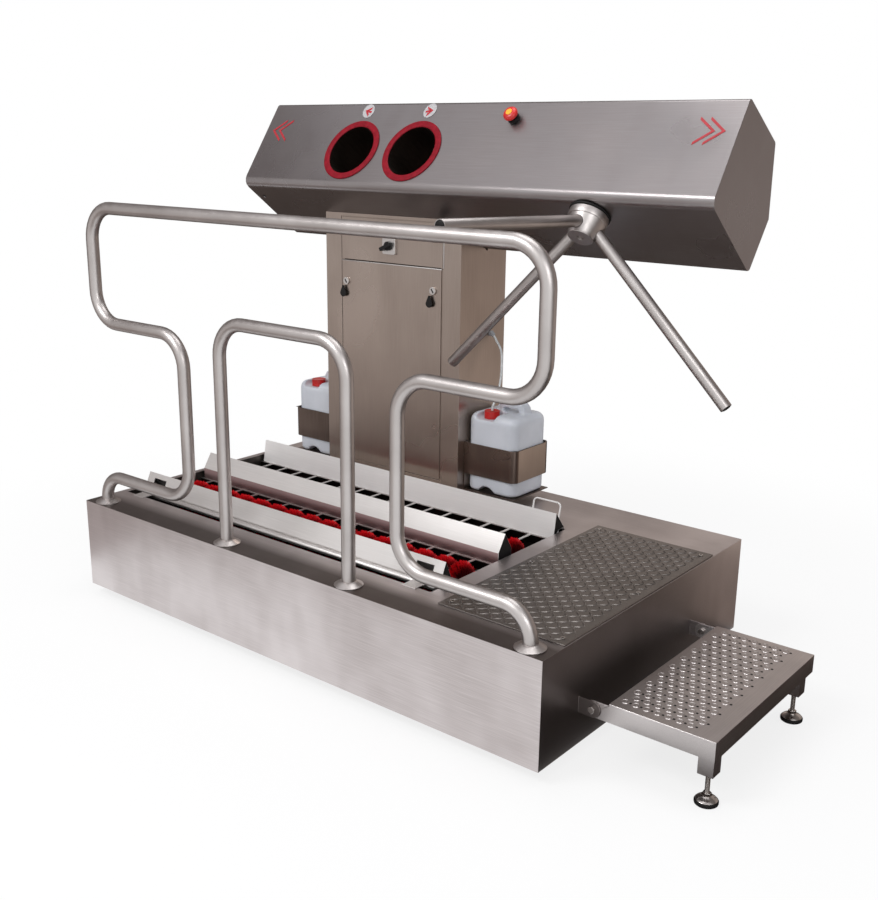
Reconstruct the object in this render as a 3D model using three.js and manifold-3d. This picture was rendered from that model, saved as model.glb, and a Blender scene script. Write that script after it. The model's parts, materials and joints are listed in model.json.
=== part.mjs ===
/*
Walk-through boot washer for a hygiene lock.
A person climbs the step, crosses the platform and walks along two lanes over
red roller brushes, cleans both hands in the overhead housing, which frees the
tripod turnstile, and leaves at the far end.
All sizes are millimetres. X runs along the base from its left end to the step,
Y from the handrails at the front to the tower at the back, Z up from the floor.
*/
import * as THREE from 'three';
import { mergeVertices } from 'three/addons/utils/BufferGeometryUtils.js';
import Module from 'manifold-3d';

const wasm = await Module();
wasm.setup();

// General sizes
const fit = 0.3;
const looseFit = 0.6;
const sheet = 3;
const overrun = 20;
const bite = 1;
const roundSides = 20;
const handSides = 32;
const boreSides = 12;
const nutSides = 6;
const arcSteps = 4;

// Base
const baseLength = 1800;
const baseDepth = 1075;
const floorGap = 35;
const deckTop = 326;
const troughLeft = 20;
const troughRight = 1346;
const troughFront = 146;
const troughBack = 800;
const troughSideBottom = 150;
const troughMiddleBottom = 106;
const drainRadius = 28;
const drainLength = 44;
const drainInset = 166;

// Frame beams and their feet, out of sight under the base
const beamSize = 40;
const beamBottom = 62;
const beamInset = 170;
const beamFootInset = 120;
const beamFootCount = 3;
const baseFootRadius = 40;
const baseFootHeight = 12;
const baseSpindleRadius = 10;

// Lanes, grates and rollers
const guardPlate = 3;
const frontGuardRear = 250;
const middleGuardFront = 465;
const middleGuardRear = 529;
const rearGuardFront = 750;
const rungTop = 302;
const rungHeight = 9;
const rungWidth = 10;
const rungPitch = 78;
const rungCount = 16;
const lastRungInset = 94;
const barWidth = 10;
const barHeight = 27;
const seatLength = 16;
const seatHeight = 4;
const rollerFrontY = 357;
const rollerRearY = 606;
const rollerZ = 264;
const bristleRadius = 71;
const coreRadius = 25;
const coreInsetLeft = 32;
const coreInsetRight = 52;
const shaftRadius = 12;
const strandsPerRing = 5;
const strandFoot = 5;
const strandTip = 7;
const strandSides = 3;
const strandSink = 3;
const ringOffset = 15;
const bearingLength = 26;
const bearingRadius = 24;

// Splash guards
const frontRidgeY = 225;
const ridgeZ = 384;
const frontFoldY = 200;
const frontFoldZ = 330;
const frontHemZ = 313;
const middleRidgeY = 497;
const middleRidgeZ = 390;
const middleEaveZ = 339;
const rearRidgeY = 764;
const rearRidgeZ = 383;
const rearFootY = 811;
const frontGuardLeft = 46;
const middleGuardLeft = 33;
const rearGuardLeft = 30;
const guardInsetRight = 12;
const gripLength = 62;
const gripInset = 34;
const gripShare = 0.3;
const tabLength = 46;
const tabInset = 30;
const tabSeat = 15;
const bailWidth = 98;
const bailHeight = 56;
const bailRadius = 3;
const bailBend = 12;
const bailSides = 8;
const bailInset = 8;
const bailLean = 12;

// Platform and drive under it
const plateLeftGap = 64;
const plateRightInset = 3;
const plateFront = 97;
const plateBack = 886;
const plateThickness = 4;
const gearboxLength = 110;
const gearboxHeight = 98;
const motorRadius = 50;
const motorLength = 200;
const sprocketRadius = 34;
const sprocketWidth = 8;
const sprocketGap = 6;
const chainThickness = 7;

// Step
const stepGap = 83;
const stepWidth = 279;
const stepFront = 172;
const stepLength = 588;
const stepTop = 175;
const apronHeight = 50;
const treadSheet = 3;
const legSize = 40;
const legBottom = 79;
const legInsetX = 3;
const legInsetFront = 5;
const legInsetRear = 38;
const pivotReach = 40;
const pivotZ = 147;
const tabThickness = 4;
const tabRadius = 22;
const boltRadius = 6;
const boltHeadRadius = 10;
const boltHeadHeight = 7;
const stepFootRadius = 29;
const stepFootHeight = 12;
const stepSpindleRadius = 6;
const spindleReach = 20;
const stepFootTravel = 12;
const footNutRadius = 11;
const footNutHeight = 9;
const footConeHeight = 8;

// Handrails
const railY = 40;
const railRadius = 19;
const railBend = 98;
const railFootBend = 80;
const railSides = 12;
const bendSteps = 5;
const longRailTop = 1270;
const longRailMiddle = 921;
const longRailLow = 420;
const railFootLeft = 66;
const railEndLeft = 80;
const railDropLeft = 492;
const railDropInset = 481;
const railFootInset = 62;
const railEndInset = 49;
const shortRailLeft = 654;
const shortRailInset = 652;
const shortRailTop = 983;
const flangeRadius = 40;
const flangeRim = 3;
const flangeHeight = 13;

// Tower
const towerLeft = 309;
const towerRight = 903;
const towerFront = 821;
const towerBack = 1064;
const openingLeft = 381;
const openingRight = 830;
const doorBottom = 372;
const doorTop = 1080;
const switchPanelHeight = 146;
const doorGap = 2.5;
const doorGapRight = 7;
const flangeWidth = 12;
const flangeDepth = 6;
const doorRibWidth = 30;
const doorRibDepth = 12;
const doorRibInset = 60;
const doorRibCount = 3;
const lockLeftX = 406;
const lockRightX = 791;
const lockDrop = 73;
const lockRadius = 13;
const lockHeight = 6;
const slotWidth = 4;
const slotDepth = 2;
const slotLength = 14;
const barrelRadius = 8;
const camLength = 34;
const camWidth = 12;
const camThickness = 3;
const flapRadius = 14;
const flapThickness = 3;
const flapPin = 2;
const flapPinX = -11;
const flapPinZ = -19;
const flapReach = 22;
const switchX = 606;
const switchRise = 59;
const switchSize = 56;
const switchDepth = 10;
const cornerShare = 0.12;
const knobRadius = 15;
const knobHeight = 16;
const knobHandle = 30;
const knobHandleWidth = 12;
const knobTurn = 155;
const buttonX = 795;
const buttonRise = 103;
const buttonRadius = 15;
const buttonHeight = 12;
const buttonCollarRadius = 21;
const buttonCollarHeight = 7;
const buttonStemRadius = 8;
const buttonTravel = 3;
const controlBoxLeft = 470;
const controlBoxWidth = 260;
const controlBoxHeight = 300;
const controlBoxDepth = 110;
const controlBoxBottom = 700;
const pumpLeft = 700;
const pumpWidth = 90;
const pumpHeight = 130;
const pumpDepth = 100;
const pumpBottom = 460;

// Overhead housing, a hexagonal section
const headLeft = 26;
const headRightInset = 1;
const apexY = 880;
const apexZ = 1595;
const noseY = 700;
const noseZ = 1328;
const keelY = 958;
const keelZ = 1135;
const headBackY = 1064;
const headBackTop = 1483;
const headBackLow = 1276;
const noseBend = 30;
const apexBend = 12;
const keelBend = 16;
const backBend = 10;
const handRise = 139;
const handLeftX = 474;
const handRightX = 732;
const handRadius = 88;
const ringRadius = 110;
const ringThickness = 4;
const chamberWall = 3;
const chamberDepth = 215;
const nozzleRadius = 9;
const nozzleLength = 26;
const nozzleDepth = 96;
const tipShare = 0.6;
const stopX = 1077;
const stopRise = 257;
const stopCollarRadius = 19;
const stopCollarHeight = 12;
const stopStemRadius = 14;
const stopRadius = 23;
const stopHeight = 17;
const stopTravel = 6;
const drainHoleX = 61;
const drainHoleRun = 81;
const drainHoleRadius = 7;

// Turnstile
const turnGap = 62;
const turnRun = 69.5;
const gasketRadius = 61;
const gasketThickness = 6;
const hubRadius = 58;
const hubFlange = 22;
const hubNeckRadius = 44;
const hubHeight = 75;
const hubNoseRadius = 38;
const hubLip = 5;
const hubDimple = 9;
const hubSides = 30;
const armCount = 3;
const armSides = 16;
const armEnd = 8;
const armRadius = 17;
const armGap = 26;
const armStart = 34;
const armSeat = 24;
const armAngle = 54.74;
const spindleRadius = 16;
const brakeRadius = 37;
const brakeHeight = 90;

// Canisters, holders and the suction hose
const holderOut = 208;
const holderFront = 853;
const holderBack = 1052;
const holderBottom = 407;
const holderTop = 515;
const holderSheet = 3;
const shelfZ = 350;
const leftStationDrop = 8;
const canisterGap = 6;
const canisterHeight = 245;
const canisterCorner = 28;
const canisterEdge = 20;
const canisterShrink = 12;
const canisterWall = 3;
const handleHeight = 56;
const handleLength = 112;
const handleInset = 20;
const handleShift = 12;
const handleThick = 16;
const handleBendShare = 0.45;
const handleWidth = 44;
const gripHoleHeight = 28;
const archRadius = 22;
const archDepth = 30;
const capOffsetX = 68;
const capOffsetY = 47;
const capRadius = 25;
const capCrown = 16;
const neckRadius = 20;
const neckHeight = 9;
const hoseRadius = 4;
const hoseSteps = 16;
const hoseSides = 8;
const hoseShares = [
  [0.17, 0, 0.06], [0.58, 0.05, 0.19], [0.81, 0.21, 0.4], [0.97, 0.46, 0.64], [1.03, 0.74, 0.82],
];
const fittingY = 984;
const fittingZ = 862;
const fittingRadius = 9;
const fittingNeck = 9;
const fittingNipple = 9;
const fittingBore = 7;

// Places that follow from the sizes above
const drainX = troughRight - drainInset;
const lastRungX = troughRight - lastRungInset;
const coreLeft = troughLeft + coreInsetLeft;
const coreRight = troughRight - coreInsetRight;
const guardRight = troughRight - guardInsetRight;
const plateLeft = troughRight + plateLeftGap;
const plateRight = baseLength - plateRightInset;
const stepLeft = baseLength + stepGap;
const pivotX = baseLength + pivotReach;
const railDropRight = baseLength - railDropInset;
const railFootRight = baseLength - railFootInset;
const railEndRight = baseLength - railEndInset;
const shortRailRight = baseLength - shortRailInset;
const shortRailBend = Math.min(railBend, (shortRailRight - shortRailLeft) / 2 - fit);
const panelTop = doorTop + switchPanelHeight;
const lockZ = doorTop - lockDrop;
const switchZ = doorTop + switchRise;
const buttonZ = doorTop + buttonRise;
const headRight = baseLength - headRightInset;
const turnX = troughRight + turnGap;
const totalLength = stepLeft + stepWidth - legInsetX - legSize / 2 + stepFootRadius;
const totalDepth = baseDepth;

// Colours and finishes
function finish(color, roughness, metalness) {
  return new THREE.MeshStandardMaterial({ color, roughness, metalness });
}

const steel = finish('#8f8781', 0.35, 1);
const darkSteel = finish('#6b6663', 0.45, 1);
const tubeSteel = finish('#b5b0ad', 0.28, 1);
const black = finish('#141414', 0.5, 0);
const red = finish('#c1121f', 0.45, 0);
const dullRed = finish('#8c2f2b', 0.5, 0);
const white = finish('#e6e8ee', 0.4, 0);
const castGrey = finish('#8a8d91', 0.5, 0.6);

// Solids from geometry
function solidOf(geometry) {
  const bare = geometry.clone();
  bare.deleteAttribute('normal');
  bare.deleteAttribute('uv');
  const merged = mergeVertices(bare);
  const vertProperties = new Float32Array(merged.attributes.position.array);
  const triVerts = new Uint32Array(merged.index.array);
  return new wasm.Manifold(new wasm.Mesh({ numProp: 3, vertProperties, triVerts }));
}

function geometryOf(solid) {
  const mesh = solid.getMesh();
  const geometry = new THREE.BufferGeometry();
  geometry.setAttribute('position', new THREE.BufferAttribute(new Float32Array(mesh.vertProperties), 3));
  geometry.setIndex(new THREE.BufferAttribute(new Uint32Array(mesh.triVerts), 1));
  return geometry;
}

function joined(first, ...others) {
  return geometryOf(others.reduce((sum, next) => sum.add(solidOf(next)), solidOf(first)));
}

function cut(first, ...cutters) {
  return geometryOf(cutters.reduce((rest, next) => rest.subtract(solidOf(next)), solidOf(first)));
}

// Outlines
function roundedOutline(corners, radii) {
  const points = [];
  corners.forEach((corner, index) => {
    const radius = radii[index];
    const here = new THREE.Vector2(...corner);
    const before = new THREE.Vector2(...corners.at(index - 1)).sub(here).normalize();
    const after = new THREE.Vector2(...corners[(index + 1) % corners.length]).sub(here).normalize();
    if (radius <= 0) {
      points.push(here);
      return;
    }
    const half = Math.acos(before.dot(after)) / 2;
    const middle = before.clone().add(after).normalize();
    const centre = here.clone().addScaledVector(middle, radius / Math.sin(half));
    const first = here.clone().addScaledVector(before, radius / Math.tan(half)).sub(centre);
    const turn = (Math.PI - 2 * half) * Math.sign(before.cross(after)) * -1;
    for (let step = 0; step <= arcSteps; step += 1) {
      const angle = turn * step / arcSteps;
      points.push(centre.clone().add(first.clone().rotateAround(new THREE.Vector2(), angle)));
    }
  });
  return points;
}

function insetCorners(corners, distance) {
  return corners.map((corner, index) => {
    const here = new THREE.Vector2(...corner);
    const before = here.clone().sub(new THREE.Vector2(...corners.at(index - 1))).normalize();
    const after = new THREE.Vector2(...corners[(index + 1) % corners.length]).sub(here).normalize();
    const normals = new THREE.Vector2(-before.y - after.y, before.x + after.x).normalize();
    const shift = distance / new THREE.Vector2(-after.y, after.x).dot(normals);
    return here.addScaledVector(normals, shift).toArray();
  });
}

function stripCorners(path, thickness) {
  const inner = path.map((corner, index) => {
    const here = new THREE.Vector2(...corner);
    const before = index > 0 ? here.clone().sub(new THREE.Vector2(...path[index - 1])).normalize() : null;
    const next = path[index + 1];
    const after = next ? new THREE.Vector2(...next).sub(here).normalize() : null;
    const along = (before ?? after).clone().add(after ?? before).normalize();
    const normal = new THREE.Vector2(-along.y, along.x);
    const share = before && after ? new THREE.Vector2(-after.y, after.x).dot(normal) : 1;
    return here.addScaledVector(normal, thickness / share).toArray();
  });
  return [...path, ...inner.reverse()];
}

const shapeOf = (points) => new THREE.Shape(points.map((p) => (p.isVector2 ? p : new THREE.Vector2(...p))));

function placed(geometry, xAxis, yAxis, zAxis, origin) {
  const matrix = new THREE.Matrix4().makeBasis(xAxis, yAxis, zAxis).setPosition(origin);
  return geometry.applyMatrix4(matrix);
}

const unitX = new THREE.Vector3(1, 0, 0);
const unitY = new THREE.Vector3(0, 1, 0);
const unitZ = new THREE.Vector3(0, 0, 1);

function extruded(points, length) {
  return new THREE.ExtrudeGeometry(shapeOf(points), { depth: length, bevelEnabled: false });
}

// A prism along X of an outline in Y and Z, and likewise for the other axes
function prismX(points, x0, x1) {
  return placed(extruded(points, x1 - x0), unitY, unitZ, unitX, new THREE.Vector3(x0, 0, 0));
}

function prismY(points, y0, y1) {
  const end = new THREE.Vector3(0, y1, 0);
  return placed(extruded(points, y1 - y0), unitX, unitZ, unitY.clone().negate(), end);
}

function box(x0, x1, y0, y1, z0, z1) {
  const geometry = new THREE.BoxGeometry(x1 - x0, y1 - y0, z1 - z0);
  return geometry.translate((x0 + x1) / 2, (y0 + y1) / 2, (z0 + z1) / 2);
}

// A round bar from one point to another along one axis
function rodX(radius, x0, x1, y, z, sides = roundSides) {
  const rod = new THREE.CylinderGeometry(radius, radius, x1 - x0, sides);
  return rod.rotateZ(-Math.PI / 2).translate((x0 + x1) / 2, y, z);
}

function rodY(radius, x, y0, y1, z, sides = roundSides) {
  return new THREE.CylinderGeometry(radius, radius, y1 - y0, sides).translate(x, (y0 + y1) / 2, z);
}

function rodZ(radius, x, y, z0, z1, sides = roundSides) {
  const rod = new THREE.CylinderGeometry(radius, radius, z1 - z0, sides);
  return rod.rotateX(Math.PI / 2).translate(x, y, (z0 + z1) / 2);
}

function turned(profile, sides = roundSides) {
  const points = profile.map(([radius, height]) => new THREE.Vector2(radius, height));
  return new THREE.LatheGeometry(points, sides).rotateX(Math.PI / 2);
}

// A route of straight runs and round bends, with stations only where the tube needs them
class BentRoute extends THREE.Curve {
  constructor(corners, radii) {
    super();
    this.stations = [];
    const points = corners.map((corner) => new THREE.Vector3(...corner));
    points.forEach((here, index) => {
      if (index === 0 || index === points.length - 1) {
        const next = index === 0 ? points[1].clone().sub(here) : here.clone().sub(points[index - 1]);
        this.stations.push({ point: here, tangent: next.normalize() });
        return;
      }
      this.addBend(points[index - 1], here, points[index + 1], radii[index - 1]);
    });
  }

  addBend(before, here, next, radius) {
    const inward = here.clone().sub(before).normalize();
    const outward = next.clone().sub(here).normalize();
    const angle = inward.angleTo(outward);
    const axis = inward.clone().cross(outward).normalize();
    const reach = radius * Math.tan(angle / 2);
    const start = here.clone().addScaledVector(inward, -reach);
    const centre = start.clone().addScaledVector(axis.clone().cross(inward), radius);
    for (let step = 0; step <= bendSteps; step += 1) {
      const turn = angle * step / bendSteps;
      const point = start.clone().sub(centre).applyAxisAngle(axis, turn).add(centre);
      this.stations.push({ point, tangent: inward.clone().applyAxisAngle(axis, turn) });
    }
  }

  stationAt(u) {
    return this.stations[Math.round(u * (this.stations.length - 1))];
  }

  getPointAt(u, target = new THREE.Vector3()) {
    return target.copy(this.stationAt(u).point);
  }

  getTangentAt(u, target = new THREE.Vector3()) {
    return target.copy(this.stationAt(u).tangent);
  }
}

function roundOutline(radius, sides) {
  const points = [];
  for (let side = 0; side < sides; side += 1) {
    const angle = 2 * Math.PI * side / sides;
    points.push([radius * Math.cos(angle), radius * Math.sin(angle)]);
  }
  return points;
}

function tube(route, radius, sides) {
  const steps = route.stations.length - 1;
  const settings = { steps, bevelEnabled: false, extrudePath: route };
  return new THREE.ExtrudeGeometry(shapeOf(roundOutline(radius, sides)), settings);
}

// Base housing: a folded box open below, with the trough opening and the step's brackets
function bracketTab(y) {
  const corners = [
    [baseLength - bite, pivotZ - tabRadius], [pivotX + tabRadius, pivotZ - tabRadius],
    [pivotX + tabRadius, pivotZ + tabRadius], [baseLength - bite, pivotZ + tabRadius],
  ];
  const roundEnd = tabRadius - bite;
  const plate = prismY(roundedOutline(corners, [0, roundEnd, roundEnd, 0]), y, y + tabThickness);
  return cut(plate, rodY(boltRadius + fit, pivotX, y - overrun, y + overrun, pivotZ));
}

const bracketFrontY = stepFront - fit - tabThickness;
const bracketRearY = stepFront + stepLength + fit;

function baseHousing() {
  const outside = box(0, baseLength, 0, baseDepth, floorGap, deckTop);
  const inside = box(
    sheet, baseLength - sheet, sheet, baseDepth - sheet,
    floorGap - overrun, deckTop - sheet,
  );
  const opening = box(troughLeft, troughRight, troughFront, troughBack, floorGap, deckTop + overrun);
  return joined(cut(outside, inside, opening), bracketTab(bracketFrontY), bracketTab(bracketRearY));
}

// Trough: a tub with a floor that falls to the middle and a drain
const troughMiddle = (troughFront + troughBack) / 2;
const tubTop = deckTop - sheet - fit;

function tubOutline(extra, top) {
  const corners = [
    [troughFront, top], [troughFront, troughSideBottom], [troughMiddle, troughMiddleBottom],
    [troughBack, troughSideBottom], [troughBack, top],
  ];
  return insetCorners(corners, -extra);
}

const laneBars = [
  frontGuardRear - barWidth / 2,
  middleGuardFront - barWidth / 2,
  middleGuardRear - barWidth / 2,
  rearGuardFront - barWidth / 2,
];
const barBottom = rungTop - barHeight;

// A bore whose flats clear the corners of the many-sided shaft that turns in it
const shaftBore = (shaftRadius + fit) / Math.cos(Math.PI / boreSides);

function trough() {
  const outer = cut(
    prismX(tubOutline(sheet, tubTop), troughLeft - sheet, troughRight + sheet),
    box(0, baseLength, 0, baseDepth, tubTop, deckTop + overrun),
  );
  const drainTop = troughMiddleBottom + sheet;
  const drain = rodZ(drainRadius + sheet, drainX, troughMiddle, drainTop - drainLength, drainTop);
  const tub = cut(
    joined(outer, drain),
    prismX(tubOutline(0, deckTop), troughLeft, troughRight),
    rodZ(drainRadius, drainX, troughMiddle, drainTop - drainLength - overrun, drainTop + overrun),
  );
  const seatTop = barBottom - fit;
  const seats = laneBars.flatMap((y) => [
    box(troughLeft - bite, troughLeft + seatLength, y, y + barWidth, seatTop - seatHeight, seatTop),
    box(troughRight - seatLength, troughRight + bite, y, y + barWidth, seatTop - seatHeight, seatTop),
  ]);
  const bearings = [rollerFrontY, rollerRearY].flatMap((y) => [
    rodX(bearingRadius, troughLeft - bite, troughLeft + bearingLength, y, rollerZ),
    rodX(bearingRadius, troughRight - bearingLength, troughRight + bite, y, rollerZ),
  ]);
  const bores = [rollerFrontY, rollerRearY].map((y) => (
    rodX(shaftBore, troughLeft, troughRight + overrun, y, rollerZ, boreSides)
  ));
  return cut(joined(tub, ...seats, ...bearings), ...bores);
}

// Frame beam: a square tube across the inside of the base, with feet
function frameBeam(y) {
  const beamTop = beamBottom + beamSize;
  const beam = box(sheet + fit, baseLength - sheet - fit, y, y + beamSize, beamBottom, beamTop);
  const feet = [];
  const middleY = y + beamSize / 2;
  for (let index = 0; index < beamFootCount; index += 1) {
    const x = beamFootInset + (baseLength - 2 * beamFootInset) * index / (beamFootCount - 1);
    feet.push(rodZ(baseFootRadius, x, middleY, 0, baseFootHeight, boreSides));
    feet.push(rodZ(baseSpindleRadius, x, middleY, baseFootHeight - bite, beamBottom + bite, nutSides));
  }
  return joined(beam, ...feet);
}

// Grate of one lane: two side bars and cross rungs
function grate(frontBar, rearBar) {
  const x0 = troughLeft + fit;
  const x1 = troughRight - fit;
  const bars = [frontBar, rearBar].map((y) => box(x0, x1, y, y + barWidth, barBottom, rungTop));
  const rungs = [];
  for (let index = 0; index < rungCount; index += 1) {
    const x = lastRungX - rungPitch * index;
    const y0 = frontBar + barWidth - bite;
    rungs.push(box(x - rungWidth / 2, x + rungWidth / 2, y0, rearBar + bite, rungTop - rungHeight, rungTop));
  }
  return joined(bars[0], ...rungs, bars[1]);
}

// Bristle: a tapered strand that leaves the core square to it
function strand(x, angle) {
  const length = bristleRadius - coreRadius + strandSink;
  const shaft = new THREE.CylinderGeometry(strandTip, strandFoot, length, strandSides);
  shaft.rotateY(Math.PI / strandSides).translate(0, coreRadius - strandSink + length / 2, 0);
  return shaft.rotateX(angle).translate(x, 0, 0);
}

// Roller brush about its own axis, its bristle rings set between the rungs
function rollerBrush() {
  const places = [(lastRungX + rungWidth / 2 + coreRight) / 2];
  for (let index = 0; index < rungCount - 1; index += 1) {
    places.push(lastRungX - rungPitch * (index + 1 / 2));
  }
  const strands = [];
  places.forEach((place, index) => {
    const spread = index === 0 ? ringOffset / 2 : ringOffset;
    for (const side of [-1, 1]) {
      for (let turn = 0; turn < strandsPerRing; turn += 1) {
        const angle = 2 * Math.PI * (turn + (side > 0 ? 1 / 2 : 0)) / strandsPerRing;
        strands.push(strand(place + side * spread, angle));
      }
    }
  });
  const core = rodX(coreRadius, coreLeft, coreRight, 0, 0, strandsPerRing * 2);
  const bore = rodX(shaftRadius + fit, coreLeft - overrun, coreRight + overrun, 0, 0, boreSides);
  return cut(joined(core, ...strands), bore);
}

const gearboxLeft = troughRight + sheet + fit;
const sprocketLeft = gearboxLeft + gearboxLength + sprocketGap;
const shaftEnd = sprocketLeft + sprocketWidth;

// Shaft of a roller with its chain sprocket at the right end
function rollerShaft() {
  const shaft = rodX(shaftRadius, troughLeft + fit, sprocketLeft + bite, 0, 0, boreSides);
  return joined(shaft, rodX(sprocketRadius, sprocketLeft, shaftEnd, 0, 0));
}

// Geared motor: gearbox around the front roller's shaft, motor lying towards the front
function gearedMotor() {
  const half = gearboxHeight / 2;
  const gearbox = box(
    gearboxLeft, gearboxLeft + gearboxLength,
    rollerFrontY - half, rollerFrontY + half, rollerZ - half, rollerZ + half,
  );
  const middle = gearboxLeft + gearboxLength / 2;
  const motorEnd = rollerFrontY - half;
  const motor = rodY(motorRadius, middle, motorEnd - motorLength, motorEnd + bite, rollerZ - fit);
  const boreEnd = gearboxLeft + gearboxLength + overrun;
  const bore = rodX(shaftRadius + fit, gearboxLeft - overrun, boreEnd, rollerFrontY, rollerZ);
  return cut(joined(gearbox, motor), bore);
}

// A loop outline around both shaft ends
function chainOutline(radius) {
  const points = [];
  [[rollerRearY, 0], [rollerFrontY, Math.PI]].forEach(([y, start]) => {
    for (let step = 0; step <= boreSides; step += 1) {
      const angle = start + Math.PI * step / boreSides;
      points.push([y + radius * Math.sin(angle), rollerZ + radius * Math.cos(angle)]);
    }
  });
  return points.reverse();
}

function driveChain() {
  const inner = sprocketRadius + fit;
  const outer = prismX(chainOutline(inner + chainThickness), sprocketLeft, shaftEnd);
  return cut(outer, prismX(chainOutline(inner), sprocketLeft - overrun, shaftEnd + overrun));
}

// Splash guards: folded sheet roofs with end plates
function endPlates(outline, left, right) {
  return [prismX(outline, left, left + guardPlate), prismX(outline, right - guardPlate, right)];
}

const skirtFoot = rungTop + fit;

function frontGuard() {
  const rear = frontGuardRear;
  const peak = [frontRidgeY, ridgeZ];
  const path = [
    [rear, skirtFoot], [rear, frontFoldZ], peak, [frontFoldY, frontFoldZ], [frontFoldY, frontHemZ],
  ];
  const roof = prismX(stripCorners(path, guardPlate), frontGuardLeft, guardRight);
  const outline = [
    [frontFoldY, frontHemZ], [rear, frontHemZ], [rear, frontFoldZ], peak, [frontFoldY, frontFoldZ],
  ];
  const plates = endPlates(insetCorners(outline, guardPlate / 2), frontGuardLeft, guardRight);
  const tabLow = deckTop + fit;
  const tabs = [frontGuardLeft + tabInset, guardRight - tabInset - tabLength].map((x) => (
    box(x, x + tabLength, troughFront - tabSeat, frontFoldY + bite, tabLow, tabLow + guardPlate)
  ));
  const slope = ridgeZ - frontFoldZ;
  const gripLow = frontFoldZ + slope * gripShare;
  const gripHigh = ridgeZ - slope * gripShare;
  const grips = [frontGuardLeft + gripInset, guardRight - gripInset - gripLength].map((x) => (
    box(x, x + gripLength, frontFoldY - overrun, frontRidgeY, gripLow, gripHigh)
  ));
  return cut(joined(roof, ...plates, ...tabs), ...grips);
}

function middleGuard() {
  const front = middleGuardFront;
  const rear = middleGuardRear;
  const peak = [middleRidgeY, middleRidgeZ];
  const path = [[rear, skirtFoot], [rear, middleEaveZ], peak, [front, middleEaveZ], [front, skirtFoot]];
  const roof = prismX(stripCorners(path, guardPlate), middleGuardLeft, guardRight);
  const outline = [
    [front, skirtFoot], [rear, skirtFoot], [rear, middleEaveZ], peak, [front, middleEaveZ],
  ];
  return joined(roof, ...endPlates(insetCorners(outline, guardPlate / 2), middleGuardLeft, guardRight));
}

function rearGuard() {
  const foot = deckTop + fit;
  const front = rearGuardFront;
  const path = [[rearFootY, deckTop], [rearRidgeY, rearRidgeZ], [front, rungTop]];
  const roof = prismX(stripCorners(path, guardPlate), rearGuardLeft, guardRight);
  const outline = [[front, rungTop], [rearFootY, deckTop], [rearRidgeY, rearRidgeZ]];
  const plates = endPlates(insetCorners(outline, guardPlate / 2), rearGuardLeft, guardRight);
  const bailY = (rearRidgeY + rearFootY) / 2;
  const bailFoot = (rearRidgeZ + deckTop) / 2 - 2 * guardPlate;
  const bailTop = bailFoot + bailHeight;
  const bailTopY = bailY + bailLean;
  const bailRight = guardRight - bailInset;
  const bailRoute = new BentRoute([
    [bailRight - bailWidth, bailY, bailFoot], [bailRight - bailWidth, bailTopY, bailTop],
    [bailRight, bailTopY, bailTop], [bailRight, bailY, bailFoot],
  ], [bailBend, bailBend]);
  const trimmed = cut(
    joined(roof, ...plates),
    box(0, baseLength, troughBack - overrun, rearFootY + overrun, barBottom, foot),
    box(0, baseLength, front - overrun, rearFootY, barBottom, skirtFoot),
  );
  return joined(trimmed, tube(bailRoute, bailRadius, bailSides));
}

// Chequer plate of the platform, screwed to the deck
function platformPlate() {
  const bottom = deckTop + fit;
  return box(plateLeft, plateRight, plateFront, plateBack, bottom, bottom + plateThickness);
}

// Step: a tread with a folded apron, two legs and two hinge ears
function stepTread() {
  const right = stepLeft + stepWidth;
  const rear = stepFront + stepLength;
  const bottom = stepTop - apronHeight;
  const outside = box(stepLeft, right, stepFront, rear, bottom, stepTop);
  const inside = box(
    stepLeft + treadSheet, right - treadSheet, stepFront + treadSheet, rear - treadSheet,
    bottom - overrun, stepTop - treadSheet,
  );
  const earCorners = [
    [pivotX - tabRadius, pivotZ - tabRadius], [stepLeft + tabRadius, pivotZ - tabRadius],
    [stepLeft + tabRadius, pivotZ + tabRadius], [pivotX - tabRadius, pivotZ + tabRadius],
  ];
  const roundEnd = tabRadius - bite;
  const earOutline = roundedOutline(earCorners, [roundEnd, 0, 0, roundEnd]);
  const ears = [stepFront, rear - tabThickness].map((y) => prismY(earOutline, y, y + tabThickness));
  const legX = right - legInsetX - legSize;
  const legPlaces = [stepFront + legInsetFront, rear - legInsetRear - legSize];
  const legs = legPlaces.map((y) => box(legX, legX + legSize, y, y + legSize, legBottom, stepTop - bite));
  const bores = legPlaces.map((y) => rodZ(
    stepSpindleRadius + fit, legX + legSize / 2, y + legSize / 2,
    legBottom - overrun, legBottom + spindleReach + stepFootTravel + looseFit, boreSides,
  ));
  const pivots = rodY(boltRadius + fit, pivotX, stepFront - overrun, rear + overrun, pivotZ, boreSides);
  return cut(joined(cut(outside, inside), ...ears, ...legs), ...bores, pivots);
}

function legCentre(index) {
  const x = stepLeft + stepWidth - legInsetX - legSize / 2;
  const fromFront = stepFront + legInsetFront + legSize / 2;
  const fromRear = stepFront + stepLength - legInsetRear - legSize / 2;
  return [x, index === 0 ? fromFront : fromRear];
}

// Levelling foot: disc, cone, nut and spindle in one
function stepFoot() {
  const coneTop = stepFootHeight + footConeHeight;
  const foot = turned([
    [0, 0], [stepFootRadius, 0], [stepFootRadius, stepFootHeight], [footNutRadius, coneTop],
    [stepSpindleRadius, coneTop], [stepSpindleRadius, legBottom + spindleReach],
    [0, legBottom + spindleReach],
  ], boreSides);
  const nutLow = coneTop - bite;
  return joined(foot, rodZ(footNutRadius, 0, 0, nutLow, nutLow + footNutHeight, nutSides));
}

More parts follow.
